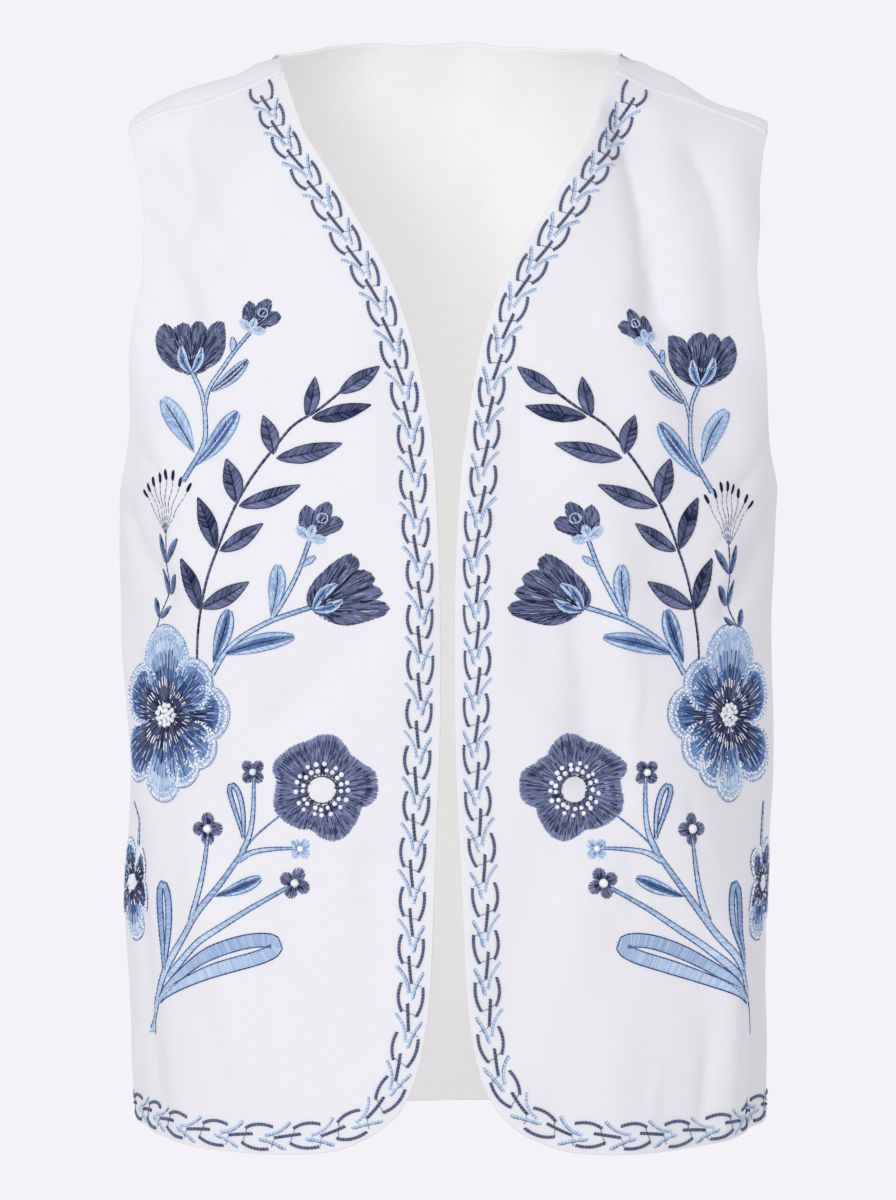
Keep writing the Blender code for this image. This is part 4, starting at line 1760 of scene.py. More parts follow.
@dataclass
class FlowerSprays:
    """The flowers of one front, drawn for the wearer's right and mirrored for the left."""

    hand: int
    top_drop: float = 0.0

    def draw(self) -> Needlework:
        """Draws all the flowers.

        Returns:
            The drawing.
        """
        work = Needlework(seed=11 + self.hand)
        self.tulip_spray(work, self.top_drop)
        self.umbel(work, self.top_drop)
        self.dark_sprig(work)
        self.side_tulip(work)
        self.layered_blossom(work, (162, -341), 1.0, 0)
        self.layered_blossom(work, (203, -432), 0.64, 1)
        self.poppy(work)
        self.lower_spray(work)
        return work

    @staticmethod
    def tulip(
        work: Needlework, base: Point, turn: float, edge: Sequence[Point], notches: Sequence[float],
        heart: Sequence[tuple[float, float, float, float]], eye: Point, stretch: float = 1.0,
    ) -> None:
        """Sews a tulip head.

        Args:
            work: The drawing.
            base: Where its stem ends.
            turn: The way it points, in degrees. All its angles are measured from there.
            edge: The angles and reaches of its outline.
            notches: The angles of the notches between its petals.
            heart: For each pale leaf of its heart, its angle, length, width and bend.
            eye: The angle and reach of the dark middle of its heart.
            stretch: How much wider it is than its outline says.
        """
        outline = edge_of(edge, turn)
        span = (math.radians(turn + edge[0][0]), math.radians(turn + edge[-1][0]))
        rows = (
            (0.00, 0.40, NAVY, 0.22), (0.26, 0.62, NAVY, 0.32),
            (0.48, 0.84, NAVY, 0.40), (0.72, 1.00, NAVY, 0.50),
        )
        work.rays(base, outline, span, rows, inner=0.5, ragged=1.3, stretch=stretch)
        brim = ((0.84, 1.00, NAVY, 0.42),)
        work.rays(base, outline, span, brim, inner=0.5, pitch=0.48, ragged=0.8, lift=0.06,
                  stretch=stretch)
        shadow = ((0.20, 0.62, NAVY, 0.02),)
        work.rays(base, outline, span, shadow, inner=0.5, pitch=2.3, ragged=3.5, lift=0.08,
                  stretch=stretch, spread=0.06)

        def at(angle: float, reach: float) -> Point:
            """A place at an angle and reach from the base."""
            way = math.radians(turn + angle)
            return (base[0] + stretch * reach * math.cos(way), base[1] + reach * math.sin(way))

        for notch in notches:
            reach = float(outline(np.array(math.radians(turn + notch))))
            for lean, share in ((-1.5, 0.70), (0.0, 0.52), (1.5, 0.76)):
                end = at(notch + lean, share * reach)
                work.sew(NAVY, [at(notch, reach)], [end], 0.75, 0.62, 0.0, 0.0)
        work.over = 0.30
        for angle, reach, width, bend in heart:
            work.leaf(base, at(angle, reach), width, bend, LIGHT_LEAF, rib=(NAVY, 0.10),
                      rim=(LIGHT, 1.0), blunt=0.5, core=(BLUE, 0.60))
        for lean in (-16, -10, -4, 3, 9, 15):
            work.sew(NAVY, [at(eye[0] + lean * 0.6, 0.42 * eye[1])],
                     [at(eye[0] + lean, 1.18 * eye[1] - 0.10 * abs(lean))], 0.80, 0.72, 0.08, 0.08)
        for lean in (-13, 2, 12):
            work.sew(LIGHT, [at(eye[0] + lean * 0.6, 0.70 * eye[1])],
                     [at(eye[0] + lean * 0.8, 1.02 * eye[1])], 0.50, 0.86, 0.80)
        for angle, reach, _, bend in heart:
            side = -6.0 if bend < 0 else 6.0
            work.sew(WHITE, [at(angle + 1.4 * side, 0.55 * reach)], [at(angle + side, 0.86 * reach)],
                     0.45, 0.70, 0.9)
            work.sew(WHITE, [at(angle, 0.62 * reach)], [at(angle, 0.98 * reach)], 0.45, 0.70, 0.9)
        work.over = 0.0

    @staticmethod
    def bud(work: Needlework, base: Point, turn: float, size: float) -> None:
        """Sews a three-lobed bud in a pale cup.

        Args:
            work: The drawing.
            base: Where its stem ends.
            turn: The way it points, in degrees.
            size: Its scale.
        """
        outline = edge_of(BUD_EDGE, turn, size)
        span = (math.radians(turn + BUD_EDGE[0][0]), math.radians(turn + BUD_EDGE[-1][0]))
        rows = ((0.05, 0.50, NAVY, 0.20), (0.34, 0.74, NAVY, 0.34), (0.62, 1.0, NAVY, 0.46))
        work.rays(base, outline, span, rows, inner=0.4, ragged=0.9)
        brim = ((0.82, 1.00, NAVY, 0.40),)
        work.rays(base, outline, span, brim, inner=0.4, pitch=0.48, ragged=0.6, lift=0.06)

        def at(angle: float, reach: float) -> Array:
            """A place at an angle and reach from the base."""
            way = math.radians(turn + angle)
            return np.array(base) + size * reach * np.array([math.cos(way), math.sin(way)])

        for notch, reach in ((-20.3, 12.8), (15.0, 14.3)):
            work.sew(NAVY, [at(notch, reach)], [at(notch, 0.55 * reach)], 0.8, 0.62, 0.0, 0.0)
        work.over = 0.25
        for angle, reach in ((-78, 7.9), (65, 7.5), (-10, 6.5)):
            work.leaf(tuple(at(angle, -0.6)), tuple(at(angle, reach)), 4.4 * size, 0.0, LIGHT_LEAF,
                      rim=(LIGHT, 1.0), blunt=0.8)
        turns = np.linspace(0, 2 * math.pi, 11)
        ring = at(3, 11.2) + size * np.stack([2.7 * np.cos(turns), 2.3 * np.sin(turns)], axis=-1)
        work.sew(LIGHT, ring[:-1], ring[1:], 0.8, 0.62, 0.75)
        for lean in (-9, 3, 14):
            work.sew(LIGHT, [at(3 + lean, 9.6)], [at(3 + lean, 12.2)], 0.55, 0.70, 0.9)
        for lean in (-4, 9):
            work.sew(NAVY, [at(3 + lean, 9.8)], [at(3 + lean, 12.0)], 0.6, 0.70, 0.05, 0.0)
        work.over = 0.0

    def tulip_spray(self, work: Needlework, drop: float) -> None:
        """Sews the upright tulip, its bud and its leaves, lowered by a distance."""
        d = -drop
        stem = ((139.5, -160), (134, -171), (132, -186), (133.5, -199), (145, -217))
        branch = ((132, -178), (129.5, -169), (121.5, -159), (113.5, -148), (106, -139))
        work.stem([(out, height + d) for out, height in stem], 2.2, 2.6)
        work.stem([(out, height + d) for out, height in branch], 2.0, 1.6)
        heart = ((-25, 16.5, 6.0, -0.12), (20, 14.5, 5.5, 0.12))
        self.tulip(work, (140, -160 + d), 90, TULIP_EDGE, (-26.7, -6.6, 18.9), heart, (-3, 10.0), 1.12)
        self.bud(work, (105.5, -137.5 + d), 120, 1.0)
        work.leaf((115.5, -150.5 + d), (115.5, -141.5 + d), 3.6, 0.05, LIGHT_LEAF,
                  rim=(BLUE, 0.2), blunt=0.8)
        work.leaf((128, -170 + d), (106.5, -153.5 + d), 7.0, 0.06, DEEP_LEAF, rib=(WHITE, 0.9),
                  rim=(BLUE, 0.65), blunt=0.6, core=(NAVY, 0.35))
        work.leaf((138.5, -202 + d), (158.5, -172.5 + d), 12.0, 0.02, LIGHT_LEAF, rib=(NAVY, 0.0),
                  rim=(BLUE, 0.85), blunt=0.75, core=(LIGHT, 0.45))
        work.leaf((137.5, -209 + d), (111, -181 + d), 11.0, 0.02, DEEP_LEAF, rib=(WHITE, 0.5),
                  rim=(BLUE, 0.75), blunt=0.75, core=(BLUE, 0.35))

    @staticmethod
    def umbel(work: Needlework, drop: float) -> None:
        """Sews the open umbel of seeds on its leafy stalk, lowered by a distance."""
        foot = np.array([157.0, -245.0 - drop])
        seeds = ((176.5, -223), (171.5, -220), (166.5, -217), (161.5, -215), (156.5, -213.5),
                 (151.5, -214), (147, -217.5), (141.5, -220.5))
        for out, height in seeds:
            seed = np.array([out, height - drop])
            way = (seed - foot) / np.linalg.norm(seed - foot)
            work.sew(NAVY, [seed - way * 2.9], [seed + way * 2.9], 2.1, 0.7, 0.0, 0.0)
            at = np.linspace(0, 1, 9)[:, None]
            rib = foot + (seed - way * 3 - foot) * at
            work.sew(NAVY, rib[:-1], rib[1:], 0.42, 0.34, 0.62, 0.3)
        d = -drop
        stalk = ((157, -245), (159, -261), (162, -277), (166.5, -289), (171, -297))
        work.line(NAVY, [(out, height + d) for out, height in stalk], 1.0, tone=0.35)
        for base, tip, width in (
            ((159.8, -260), (163.5, -244.5), 4.6), ((158.0, -260), (147.5, -247.0), 4.6),
            ((162.0, -277), (165.8, -263.0), 4.2), ((160.8, -277), (150.5, -266.0), 5.4),
            ((167.2, -289), (171.6, -278.5), 4.0), ((165.6, -289.5), (157.8, -283.0), 4.0),
        ):
            work.leaf((base[0], base[1] + d), (tip[0], tip[1] + d), width, 0, SMALL_LEAF, blunt=0.45)

    @staticmethod
    def dark_sprig(work: Needlework) -> None:
        """Sews the long dark sprig of pointed leaves."""
        path = [(138.5, -313), (137.5, -300), (134.5, -284), (130, -267), (124.5, -253), (119, -240),
                (112, -227), (102, -212), (91.5, -199), (82, -188), (68, -180), (56, -171)]
        work.line(NAVY, path, 0.9, offset=0.36, tone=0.10)
        work.line(NAVY, path, 0.9, offset=-0.36, tone=0.42)
        pairs = (
            ((135.3, -285), (145.5, -257.5), 9.0, BLACK_LEAF),
            ((134.3, -284), (106.0, -270), 9.5, DARK_LEAF),
            ((125.5, -253), (136.0, -225.5), 9.5, BLACK_LEAF),
            ((123.3, -254), (98.5, -239.5), 8.5, DARK_LEAF),
            ((113.0, -229), (118.5, -205.5), 11.0, DARK_LEAF),
            ((112.0, -230.5), (77.5, -219.5), 9.0, DARK_LEAF),
            ((92.5, -203.5), (98.0, -183.0), 9.0, DARK_LEAF),
            ((91.5, -205.5), (55.0, -198.0), 9.5, DARK_LEAF),
            ((74.5, -184.0), (70.0, -163.0), 8.0, DARK_LEAF),
            ((72.0, -184.5), (40.0, -178.0), 8.5, BLACK_LEAF),
            ((57.0, -172.0), (36.0, -157.5), 8.5, DARK_LEAF),
        )
        for base, tip, width, halves in pairs:
            work.leaf(base, tip, width, 0.03, halves, rib=(NAVY, 0.05), rim=(NAVY, 0.15))

    def side_tulip(self, work: Needlework) -> None:
        """Sews the tulip that leans to the middle, with its bud and leaves."""
        work.stem([(128, -319), (120.5, -308), (110.5, -299.5), (94.5, -291), (83.5, -287),
                   (72.5, -283.5)], 2.6, 2.0)
        work.stem([(93, -289), (87, -280), (79.5, -266), (75.5, -256), (73, -249)], 2.2, 1.8)
        heart = ((-20, 18.7, 5.6, -0.10), (9, 16.9, 5.0, 0.10))
        self.tulip(work, (71.5, -285), 153, SIDE_TULIP_EDGE, (-14.3, 4.7, 18.0), heart, (-6, 11.5))
        self.bud(work, (73, -247.5), 120, 1.12)
        work.leaf((77.5, -262.5), (70.0, -257.0), 3.2, 0.0, LIGHT_LEAF, rim=(BLUE, 0.2), blunt=0.8)
        work.leaf((93.5, -288), (90.0, -261.0), 9.0, 0.04, LIGHT_LEAF, rib=(NAVY, 0.1),
                  rim=(BLUE, 0.60), blunt=0.8, core=(LIGHT, 0.40))
        work.leaf((127.5, -313), (117.5, -284.5), 10.5, 0.03, LIGHT_LEAF, rib=(NAVY, 0.0),
                  rim=(BLUE, 0.35), blunt=0.8, core=(BLUE, 0.40))
        work.leaf((121.0, -308.5), (81.0, -299.0), 9.5, -0.03, DEEP_LEAF, rib=(NAVY, 0.10),
                  rim=(BLUE, 0.60), blunt=0.6, core=(BLUE, 0.45))

    @staticmethod
    def layered_blossom(work: Needlework, centre: Point, size: float, plan: int) -> None:
        """Sews a large blossom of layered petals, dark inside and netted white at the tips.

        Args:
            work: The drawing.
            centre: Its centre.
            size: Its size, 1 for the large one.
            plan: Which petals it has.
        """
        deep = (
            (0.12, 0.48, NAVY, 0.22), (0.34, 0.66, BLUE, 0.20), (0.52, 0.84, BLUE, 0.42),
            (0.72, 0.94, BLUE, 0.80),
        )
        pale = (
            (0.12, 0.46, NAVY, 0.30), (0.32, 0.60, BLUE, 0.45), (0.46, 0.78, LIGHT, 0.30),
            (0.66, 0.96, LIGHT, 0.75),
        )
        dusk = (
            (0.12, 0.52, NAVY, 0.12), (0.38, 0.72, NAVY, 0.36), (0.58, 0.86, BLUE, 0.10),
            (0.74, 0.94, BLUE, 0.55),
        )
        large = (
            (30, 39, 15.5, dusk), (318, 46, 14.5, dusk), (213, 41, 12.5, deep), (177, 45, 14.5, dusk),
            (243, 41, 12.5, deep), (272, 46, 12.5, pale), (141, 40, 14.0, deep), (91, 48, 17.0, pale),
        )
        small = (
            (140, 38, 13.0, dusk), (62, 40, 13.5, dusk), (205, 36, 12.0, dusk), (10, 38, 13.5, deep),
            (320, 42, 13.0, dusk), (262, 48, 13.0, pale),
        )
        for order, (turn, length, radius, rows) in enumerate(small if plan else large):
            length, radius = length * size, radius * size
            away = length - radius
            outline = lobes([(turn, away, radius), (turn, away * 0.6, radius * 0.72)])
            half = math.asin(min(0.98, radius / away))
            span = (math.radians(turn) - half, math.radians(turn) + half)
            lift = 0.07 * order
            inner = 2.0 * size
            work.rays(centre, outline, span, rows, inner=inner, ragged=1.5, lift=lift)
            lines = ((0.24, 0.62, NAVY, 0.04), (0.44, 0.78, NAVY, 0.20))
            work.rays(centre, outline, span, lines, inner=inner, pitch=2.6, ragged=3.0 * size,
                      lift=lift + 0.12, spread=0.15)
            start = 0.80 if rows is pale else 0.85
            netting = ((start, 0.94, LIGHT, 0.45), (start + 0.06, 1.0, LIGHT, 0.75))
            for first, last, thread, tone in netting:
                for lean in (-0.05, 0.05):
                    work.rays(centre, outline, span, ((first, last, thread, tone),), inner=inner,
                              pitch=1.1, ragged=0.6, lift=lift + 0.10, swirl=lean, spread=0.3)
            rim = np.linspace(*span, round(26 * size))
            for share, radius_of_knot, tone in ((0.885, 0.68, 0.80), (0.965, 0.72, 0.95)):
                reach = inner + (outline(rim) - inner) * share
                keep = reach > 0.55 * length
                dots = polar(rim, reach)[keep] + centre
                dots = dots + work.draw.uniform(-0.6, 0.6, dots.shape)
                work.knot(WHITE, dots, radius_of_knot, tone)
            reach = outline(rim) + 0.4
            line = (polar(rim, reach) + centre)[reach > 0.5 * length]
            work.sew(BLUE, line[:-1], line[1:], 0.50, 0.50, 0.45, 0.40)
            specks = ((0.50, 0.68, LIGHT, 0.60), (0.64, 0.84, LIGHT, 0.70))
            work.rays(centre, outline, span, specks, inner=inner, pitch=3.4, ragged=2.5 * size,
                      lift=lift + 0.16, spread=0.3)
            spokes = ((0.26, 0.42, WHITE, 0.9),)
            work.rays(centre, outline, span, spokes, inner=inner, pitch=2.0, ragged=1.0,
                      lift=lift + 0.25)
        middle = (centre[0] - 4.4 * size, centre[1])
        work.over = 0.45
        work.rays(middle, lambda a: np.full(np.shape(a), 10.0 * size), (0, 2 * math.pi),
                  ((0.1, 0.6, NAVY, 0.05), (0.45, 1.0, NAVY, 0.12)), ragged=1.3, spread=0.2)
        work.over = 0.0
        knots = [(0.0, 0.0)]
        for ring, count in ((2.8, 6), (5.4, 11)):
            turn = np.linspace(0, 2 * math.pi, count, endpoint=False) + ring
            knots += list(zip(ring * size * np.cos(turn), ring * size * np.sin(turn)))
        places = np.array(centre) + np.array(knots) + work.draw.uniform(-0.4, 0.4, (len(knots), 2))
        work.knot(WHITE, places, 1.55 * (0.5 + 0.5 * size))

    @staticmethod
    def poppy(work: Needlework) -> None:
        """Sews the open poppy: rings of dark satin round a bare disc, with white knots."""
        centre = (66.5, -379.0)
        outline = edge_of(POPPY_EDGE)
        whole = (-math.pi, math.pi)
        rows = (
            (0.00, 0.38, NAVY, 0.36), (0.24, 0.56, NAVY, 0.70), (0.42, 0.74, NAVY, 0.56),
            (0.60, 0.90, NAVY, 0.48), (0.80, 1.00, NAVY, 0.80),
        )
        work.rays(centre, outline, whole, rows, inner=7.4, ragged=1.1)
        dark = ((0.30, 0.62, NAVY, 0.02), (0.66, 0.92, NAVY, 0.04))
        work.rays(centre, outline, whole, dark, inner=7.4, pitch=2.6, ragged=1.8, lift=0.08, spread=0.06)
        rim = np.linspace(0, 2 * math.pi, 33)
        ring = np.stack([7.9 * np.cos(rim), 7.1 * np.sin(rim)], axis=-1) + centre
        work.sew(NAVY, ring[:-1], ring[1:], 0.7, 0.60, 0.05, 0.1)
        for radius, count in ((10.3, 17), (13.5, 17)):
            turn = np.linspace(0, 2 * math.pi, count, endpoint=False) + 0.1 * radius
            turn = turn + work.draw.uniform(-0.06, 0.06, count)
            reach = radius + work.draw.uniform(-0.5, 0.5, count)
            places = polar(turn, reach) + centre
            work.knot(WHITE, places, 1.32, 0.85)
            work.sew(NAVY, places - (0.9, 1.3), places + (0.9, -1.1), 0.5, 0.5, 0.0)

    @staticmethod
    def daisy(work: Needlework, centre: Point, size: float, turn: float, thread: Thread) -> None:
        """Sews a small four-petalled flower with a white knot.

        Args:
            work: The drawing.
            centre: Its centre.
            size: Its radius.
            turn: The way its first petal points, in degrees.
            thread: Its thread.
        """
        petals = [(turn + 90 * k, size * 0.58, size * 0.42) for k in range(4)]
        outline = lobes([*petals, (0, 0, size * 0.5)])
        tone = 0.5 if thread is NAVY else 0.6
        rows = ((0.0, 0.6, thread, tone - 0.2), (0.4, 1.0, thread, tone + 0.1))
        work.rays(centre, outline, (0, 2 * math.pi), rows, inner=0.25 * size, ragged=0.4)
        work.knot(WHITE, np.array([centre]), 0.27 * size, 0.9)

    def lower_spray(self, work: Needlework) -> None:
        """Sews the lower spray: its stems, loop leaves and small flowers."""
        stem = [(185.0, -511), (176, -497), (167, -484), (157.5, -470), (146.5, -456.5),
                (136, -444), (126.5, -432.5), (118, -421.5), (110.5, -411.5)]
        work.stem([(159.8, -480), (141, -464), (124, -453), (105, -441), (86, -430.8)], 4.2, 1.6)
        work.stem([(142, -450), (137, -437), (134, -423), (131.8, -405)], 3.6, 1.4)
        work.stem([(114, -417), (106, -412.5), (95, -410.5), (81.5, -409.7)], 3.0, 1.0)
        work.stem([(111.5, -413), (106.5, -402), (104.5, -390), (104.0, -373.5)], 3.2, 1.2)
        work.line(BLUE, [(110.5, -411.5), (103, -403.5), (89, -392.5)], 1.3, tone=0.6)
        work.loop((163.3, -477), (164.0, -428.5), 11.5, 4.5, 0.02, 0.45)
        work.loop((169.5, -493), (88.5, -459), 17.0, 6.9, -0.05, 0.62)
        work.loop((110.5, -405), (117.5, -375.5), 8.0, 2.6, 0.03, 0.55)
        work.leaf((126.5, -436), (100.0, -425.5), 7.0, 0.02, LIGHT_LEAF, rib=(NAVY, 0.1),
                  rim=(BLUE, 0.3), blunt=0.9, core=(BLUE, 0.30))
        work.stem(stem, 5.6, 2.2)
        self.daisy(work, (104.6, -370.0), 7.4, 45, NAVY)
        self.daisy(work, (131.8, -400.5), 9.0, 0, NAVY)
        self.daisy(work, (78.1, -410.0), 6.4, 45, LIGHT)
        self.daisy(work, (81.3, -428.0), 8.8, 25, NAVY)
        work.stem([(199.5, -412), (199, -402), (198.5, -388)], 2.6, 1.0)


BORDER_INSETS = ((0.0, 0.05, 0.09, 0.24, 0.43, 0.66, 1.0), (15.5, 12.6, 11.2, 10.3, 13.0, 9.8, 9.4))


class Stroke(NamedTuple):
    """A curved stroke of one chain link, in millimetres.

    Each of its three points has a distance aside, towards the cloth's edge, and a distance
    along the way that the border runs.
    """

    thread: Thread
    aside_a: float
    along_a: float
    aside_b: float
    along_b: float
    aside_c: float
    along_c: float
    width: float
    tone: float


LINK = (
    Stroke(NAVY, -5.0, -11.2, -6.2, -3.6, -4.1, 3.2, 1.75, 0.52),
    Stroke(NAVY, 6.6, -8.8, 6.4, -1.2, 3.9, 5.6, 1.75, 0.52),
    Stroke(NAVY, -1.0, 0.0, -0.3, 6.8, 0.7, 13.6, 1.75, 0.46),
    Stroke(LIGHT, -7.2, 5.6, -2.6, 11.6, -0.5, 19.0, 1.60, 0.80),
    Stroke(LIGHT, 6.7, 8.4, 3.3, 15.0, 1.5, 22.3, 1.45, 0.74),
)
TRACES = (
    Stroke(BLUE, -6.9, 4.7, -2.0, 11.2, 0.2, 18.6, 0.42, 0.45),
    Stroke(BLUE, 7.3, 9.0, 4.0, 15.4, 2.2, 22.2, 0.42, 0.35),
    Stroke(NAVY, -4.1, 3.0, -2.5, 3.2, -0.8, 3.7, 0.42, 0.35),
    Stroke(NAVY, -0.4, 4.4, 1.8, 4.8, 3.9, 5.5, 0.36, 0.55),
    Stroke(NAVY, 0.7, 13.5, 3.0, 14.9, 6.2, 15.6, 0.34, 0.85),
    Stroke(LIGHT, -0.6, 18.7, 0.6, 18.8, 1.9, 18.4, 0.45, 0.60),
)


@dataclass
class ChainBorder:
    """The border of chain links with pale arrowheads between them."""

    first: float = 14.5
    pitch: float = 22.0
    growth: float = 0.075

    def draw(self, path: Array, cloth: ClothMap, seed: int) -> Needlework:
        """Draws the border along a path.

        Args:
            path: The border's middle line, in millimetres, in the way that it runs.
            cloth: The cloth.
            seed: The seed of the hand's unevenness.

        Returns:
            The drawing.
        """
        work = Needlework(seed=seed)
        run, aside = cloth.rule(path)
        links = np.arange(40)
        tops = self.first + links * (self.pitch + links * self.growth)
        for top in tops[tops < run[-1] + 10]:
            top += work.draw.uniform(-0.5, 0.5)
            lean = work.draw.uniform(-0.5, 0.5)
            for stroke in LINK:
                curve = self.curve(stroke, top, lean, path, run, aside, work.draw)
                if len(curve) > 2:
                    high = 0.95 if stroke.thread is NAVY else 0.70
                    work.band(stroke.thread, curve, stroke.width, stroke.tone, high)
            for trace in TRACES:
                curve = self.curve(trace, top, lean, path, run, aside, work.draw)
                if len(curve) > 2:
                    line = resample(curve, 4)
                    work.sew(trace.thread, line[:-1], line[1:], trace.width, 0.55, trace.tone, 0.1)
        return work

    @staticmethod
    def curve(
        stroke: Stroke, top: float, lean: float, path: Array, run: Array, aside: Array,
        draw: np.random.Generator,
    ) -> Array:
        """Lays one stroke beside the path.

        Args:
            stroke: The stroke.
            top: Where its link's middle dash starts.
            lean: How far the link is to the side.
            path: The border's middle line.
            run: The distance along it at each place.
            aside: The step of one millimetre towards the edge at each place.
            draw: The unevenness of the hand.

        Returns:
            The stroke's places, without those past the path's ends.
        """
        t = np.linspace(0, 1, 15)
        a, b, c = (1 - t) * (1 - 2 * t), 4 * t * (1 - t), t * (2 * t - 1)
        along = a * stroke.along_a + b * stroke.along_b + c * stroke.along_c + top
        side = a * stroke.aside_a + b * stroke.aside_b + c * stroke.aside_c + lean
        along = along + draw.uniform(-0.25, 0.25)
        side = side + draw.uniform(-0.2, 0.2)
        inside = (along > 0.4) & (along < run[-1] - 0.4)
        along, side = along[inside], side[inside]
        return read_at(along, run, path) + side[:, None] * read_at(along, run, aside)


@dataclass
class Studio:
    """The camera, lights and the pale round cove."""

    distance: float = 2.5
    eye_level: float = -0.2797
    metres_per_pixel: float = 0.000545
    photo_height: int = 1200
    cove_radius: float = 6.0
    cove_height: float = 5.0
    floor_level: float = -0.95
    ambient: float = 0.68

    def camera(self) -> None:
        """Sets the camera in front, level with the photograph's middle."""
        data = bpy.data.cameras.new("camera")
        focal = self.distance / self.metres_per_pixel
        data.sensor_width = 36
        data.lens = focal / self.photo_height * data.sensor_width
        data.clip_end = 50
        camera = bpy.data.objects.new("camera", data)
        camera.location = (-0.0003, -0.006 - self.distance, self.eye_level)
        camera.rotation_euler = (math.pi / 2, 0, 0)
        bpy.context.scene.collection.objects.link(camera)
        bpy.context.scene.camera = camera

    def cove(self) -> bpy.types.Object:
        """Makes the floor, which curves up into a round wall.

        Returns:
            The cove.
        """
        deselect()
        bpy.ops.mesh.primitive_circle_add(
            vertices=96, radius=self.cove_radius, fill_type="NGON", location=(0, 0, self.floor_level)
        )
        cove = bpy.context.active_object
        cove.name = "cove"
        bpy.ops.object.mode_set(mode="EDIT")
        bpy.ops.mesh.select_all(action="SELECT")
        for step in range(1, 13):
            turn = step / 12 * math.pi / 2
            grow = (self.cove_radius + 1.5 * math.sin(turn)) / (
                self.cove_radius + 1.5 * math.sin(turn - math.pi / 24)
            )
            rise = 1.5 * (math.cos(turn - math.pi / 24) - math.cos(turn))
            bpy.ops.mesh.extrude_region_move(TRANSFORM_OT_translate={"value": (0, 0, rise)})
            bpy.ops.transform.resize(value=(grow, grow, 1), center_override=(0, 0, 0))
        bpy.ops.mesh.extrude_region_move(TRANSFORM_OT_translate={"value": (0, 0, self.cove_height)})
        bpy.ops.mesh.delete(type="ONLY_FACE")
        bpy.ops.object.mode_set(mode="OBJECT")
        bpy.ops.object.shade_smooth()
        material = bpy.data.materials.new("cove")
        material.use_nodes = True
        shader = material.node_tree.nodes["Principled BSDF"]
        shader.inputs["Base Color"].default_value = (0.08, 0.08, 0.08, 1)
        shader.inputs["Roughness"].default_value = 1
        shader.inputs["Specular IOR Level"].default_value = 0
        shader.inputs["Emission Color"].default_value = (0.913, 0.888, 0.930, 1)
        shader.inputs["Emission Strength"].default_value = 0.94
        cove.visible_diffuse = False
        cove.data.materials.append(material)
        return cove

    def lights(self) -> None:
        """Hangs the soft lights and sets the ambient light."""
        scene = bpy.context.scene
        world = bpy.data.worlds.new("studio")
        scene.world = world
        world.use_nodes = True
        world.node_tree.nodes["Background"].inputs["Color"].default_value = (0.97, 0.97, 1.0, 1)
        world.node_tree.nodes["Background"].inputs["Strength"].default_value = self.ambient
        scene.view_settings.view_transform = "Standard"
        for name, place, target, size, energy in (
            ("key", (-1.5, -2.9, 0.55), (0, 0, -0.28), (1.6, 1.6), 36.0),
            ("fill", (1.9, -2.9, 0.0), (0, 0, -0.28), (1.8, 1.8), 10.5),
            ("inner", (0, -0.055, -0.33), (0, 1, -0.33), (0.16, 0.56), 0.21),
        ):
            data = bpy.data.lights.new(name, "AREA")
            data.shape = "RECTANGLE"
            data.size, data.size_y = size
            data.energy = energy
            lamp = bpy.data.objects.new(name, data)
            lamp.location = place
            aim = np.array(target) - np.array(place)
            flat = math.hypot(aim[0], aim[1])
            lamp.rotation_euler = (math.atan2(flat, -aim[2]), 0, math.atan2(-aim[0], aim[1]))
            lamp.visible_camera = False
            scene.collection.objects.link(lamp)


@dataclass
class ShoulderWelt:
    """The low ridge of a shoulder seam, where the cloth of the front is turned under."""

    drape: Drape
    hand: int
    width: float = 0.0046
    height: float = 0.0010
    places: int = 70
    round: int = 10

    def make(self, denim: bpy.types.Material) -> bpy.types.Object:
        """Models the ridge.

        Args:
            denim: The finish.

        Returns:
            The object.
        """
        side = "right" if self.hand < 0 else "left"
        seam = self.drape.figure.seam_curve(np.linspace(0.004, 0.992, self.places))
        rings = []
        for turn in np.linspace(0, 2 * math.pi, self.round, endpoint=False):
            across = self.width / 2 * (1 + math.cos(turn))
            around, along = seam[:, 0] * self.hand, seam[:, 1] + across / CLOTH_PER_ALONG
            lift = self.height * (0.1 + 0.9 * math.sin(turn)) * np.ones(self.places)
            lift[[0, -1]] *= 0.3
            outward = self.drape.normals(around, along)
            rings.append(self.drape.cloth(around, along) + outward * lift[:, None])
        points = np.stack(rings, axis=1).reshape(-1, 3)
        ahead = np.arange(self.places - 1)[:, None] * self.round
        step = np.arange(self.round)[None, :]
        following = (step + 1) % self.round
        faces = np.stack([ahead + step, ahead + following, ahead + following + self.round,
                          ahead + step + self.round], axis=-1).reshape(-1, 4).tolist()
        last = (self.places - 1) * self.round
        faces += [list(range(self.round)), list(range(last, last + self.round))]
        mesh = bpy.data.meshes.new(f"shoulder_seam_{side}")
        mesh.from_pydata(points, [], faces)
        mark(mesh, mesh.uv_layers.new(name="cloth"), points[:, [0, 2]])
        mesh.materials.append(denim)
        obj = bpy.data.objects.new(mesh.name, mesh)
        bpy.context.scene.collection.objects.link(obj)
        deselect()
        obj.select_set(True)
        bpy.context.view_layer.objects.active = obj
        bpy.ops.object.mode_set(mode="EDIT")
        bpy.ops.mesh.select_all(action="SELECT")
        bpy.ops.mesh.normals_make_consistent(inside=False)
        bpy.ops.object.mode_set(mode="OBJECT")
        bpy.ops.object.shade_smooth()
        return obj


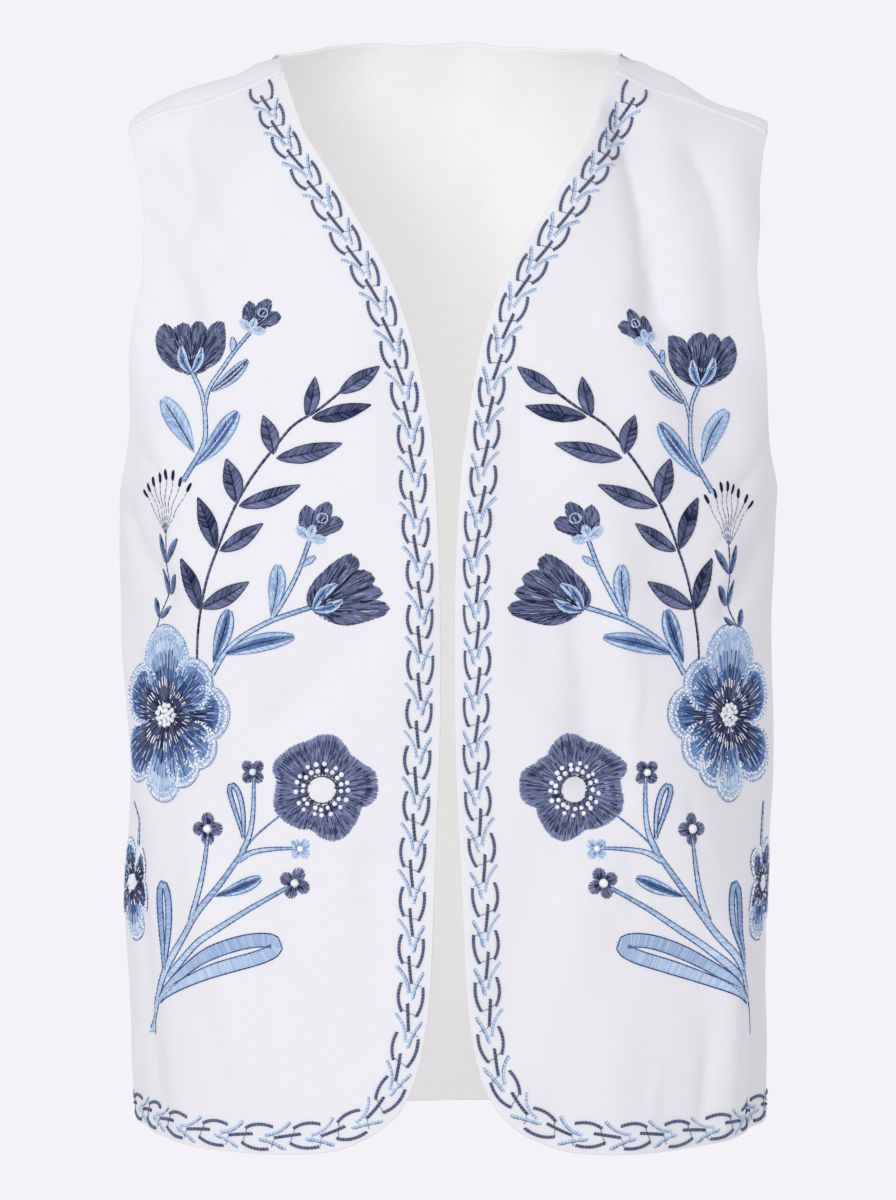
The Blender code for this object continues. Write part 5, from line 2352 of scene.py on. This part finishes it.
@dataclass
class Waistcoat:
    """The whole garment: three panels, their needlework and the chain border."""

    figure: Figure = field(default_factory=Figure)

    def build(self) -> None:
        """Builds and dresses every piece."""
        drape = Drape(self.figure)
        denim = DenimFinish().make()
        # The inside's warmer hue is its own; its extra paleness is painted light, standing in for light
        # that shines through the thin cloth.
        inside = DenimFinish(name="denim_inside_painted_light", colour=(0.875, 0.862, 0.858), rib_depth=0.08).make()
        threads = {thread: finish.make() for thread, finish in THREADS.items()}
        stitches = (Stitch(), Knot())
        for stitch in stitches:
            stitch.model()
        back = BackPanel("back_cloth", "back", drape, (0.49, 0.625), 0.262)
        panels = [
            FrontPanel("front_right_cloth", "front_right", drape, (0.245, 0.61), 0.118, hand=-1),
            FrontPanel("front_left_cloth", "front_left", drape, (0.245, 0.61), 0.118, hand=1),
            back,
        ]
        for panel in panels:
            piece = panel.make(denim, inside)
            sewn = []
            for hand, face in self.sides_of(panel):
                low = -0.576 if face is FRONT else -0.572
                high = 0.016 if face is FRONT else -0.520
                cloth = ClothMap(drape, face, hand, low, high)
                sewn += self.needlework(cloth, stitches, threads)
                if face is FRONT:
                    welt = ShoulderWelt(drape, hand).make(denim)
                    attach(welt, "root")
                    sewn.append(welt)
            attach(piece, "root")
            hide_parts(panel.node)
            log.info("%s: %d faces", piece.name, len(piece.data.polygons))

    @staticmethod
    def sides_of(panel: Panel) -> list[tuple[int, Face]]:
        """The sides of the body, and the face, that a panel covers."""
        if isinstance(panel, FrontPanel):
            return [(panel.hand, FRONT)]
        return [(-1, BACK), (1, BACK)]

    def border_path(self, cloth: ClothMap) -> Array:
        """Draws the border's middle line on one cloth, from the shoulder to the side, or on.

        Args:
            cloth: The cloth.

        Returns:
            The path, in millimetres.
        """
        if cloth.face is FRONT:
            edge, hem = self.figure.front_outline(cloth.hand)
            outline = resample(cloth.flat(np.vstack([edge, hem[1:]])) / MM, 900)
            outline = self.soften(outline, 40)
            share = np.linspace(0, 1, len(outline))
            inset = np.interp(share, BORDER_INSETS[0], BORDER_INSETS[1])
            path = outline - inset[:, None] * cloth.rule(outline)[1]
            seam = cloth.flat(self.figure.seam_curve(np.linspace(0, 0.6, 60))) / MM
            under = path[:, 1] < np.interp(path[:, 0], seam[:, 0], seam[:, 1]) - 0.5
            return self.soften(resample(path[under], 900), 60)
        share = np.linspace(1, 0, 500)
        rise = self.figure.side_hem - self.figure.back_hem
        hem = (self.figure.back_hem + rise * share**3) / MM
        side = float(np.interp(SIDE - 1e-6, cloth.angle[20], cloth.outs)) / MM
        return np.stack([side * share, hem + BORDER_INSETS[1][-1]], axis=-1)

    @staticmethod
    def soften(path: Array, rounds: int) -> Array:
        """Takes small bends out of a path."""
        path = path.copy()
        for _ in range(rounds):
            path[1:-1] = (path[:-2] + path[2:]) / 2
        return path

    def needlework(self, cloth: ClothMap, stitches: tuple, threads: dict) -> list[bpy.types.Object]:
        """Sews what one side of one face carries.

        Args:
            cloth: The cloth.
            stitches: The modelled stitches.
            threads: The materials by thread.

        Returns:
            The pieces.
        """
        side = "right" if cloth.hand < 0 else "left"
        face = "front" if cloth.face is FRONT else "back"
        path = self.border_path(cloth)
        chain = ChainBorder() if cloth.face is FRONT else ChainBorder(-0.5, 26.0, 0.0)
        works = [(f"border_{face}_{side}", chain.draw(path, cloth, 31 + cloth.hand))]
        if cloth.face is FRONT:
            drop = 6.0 if cloth.hand > 0 else 0.0
            works.append((f"flowers_{side}", FlowerSprays(cloth.hand, drop).draw()))
        pieces = []
        for name, work in works:
            for thread, piece in work.meshes(cloth, stitches, name):
                piece.data.materials.append(threads[thread])
                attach(piece, "root")
                log.info("%s: %d faces", piece.name, len(piece.data.polygons))
                pieces.append(piece)
        return pieces


def main() -> None:
    """Builds the waistcoat and its studio."""
    logging.basicConfig(level=logging.INFO, format="%(message)s")
    Waistcoat().build()
    studio = Studio()
    studio.cove()
    studio.lights()
    studio.camera()


if __name__ == "__main__":
    main()
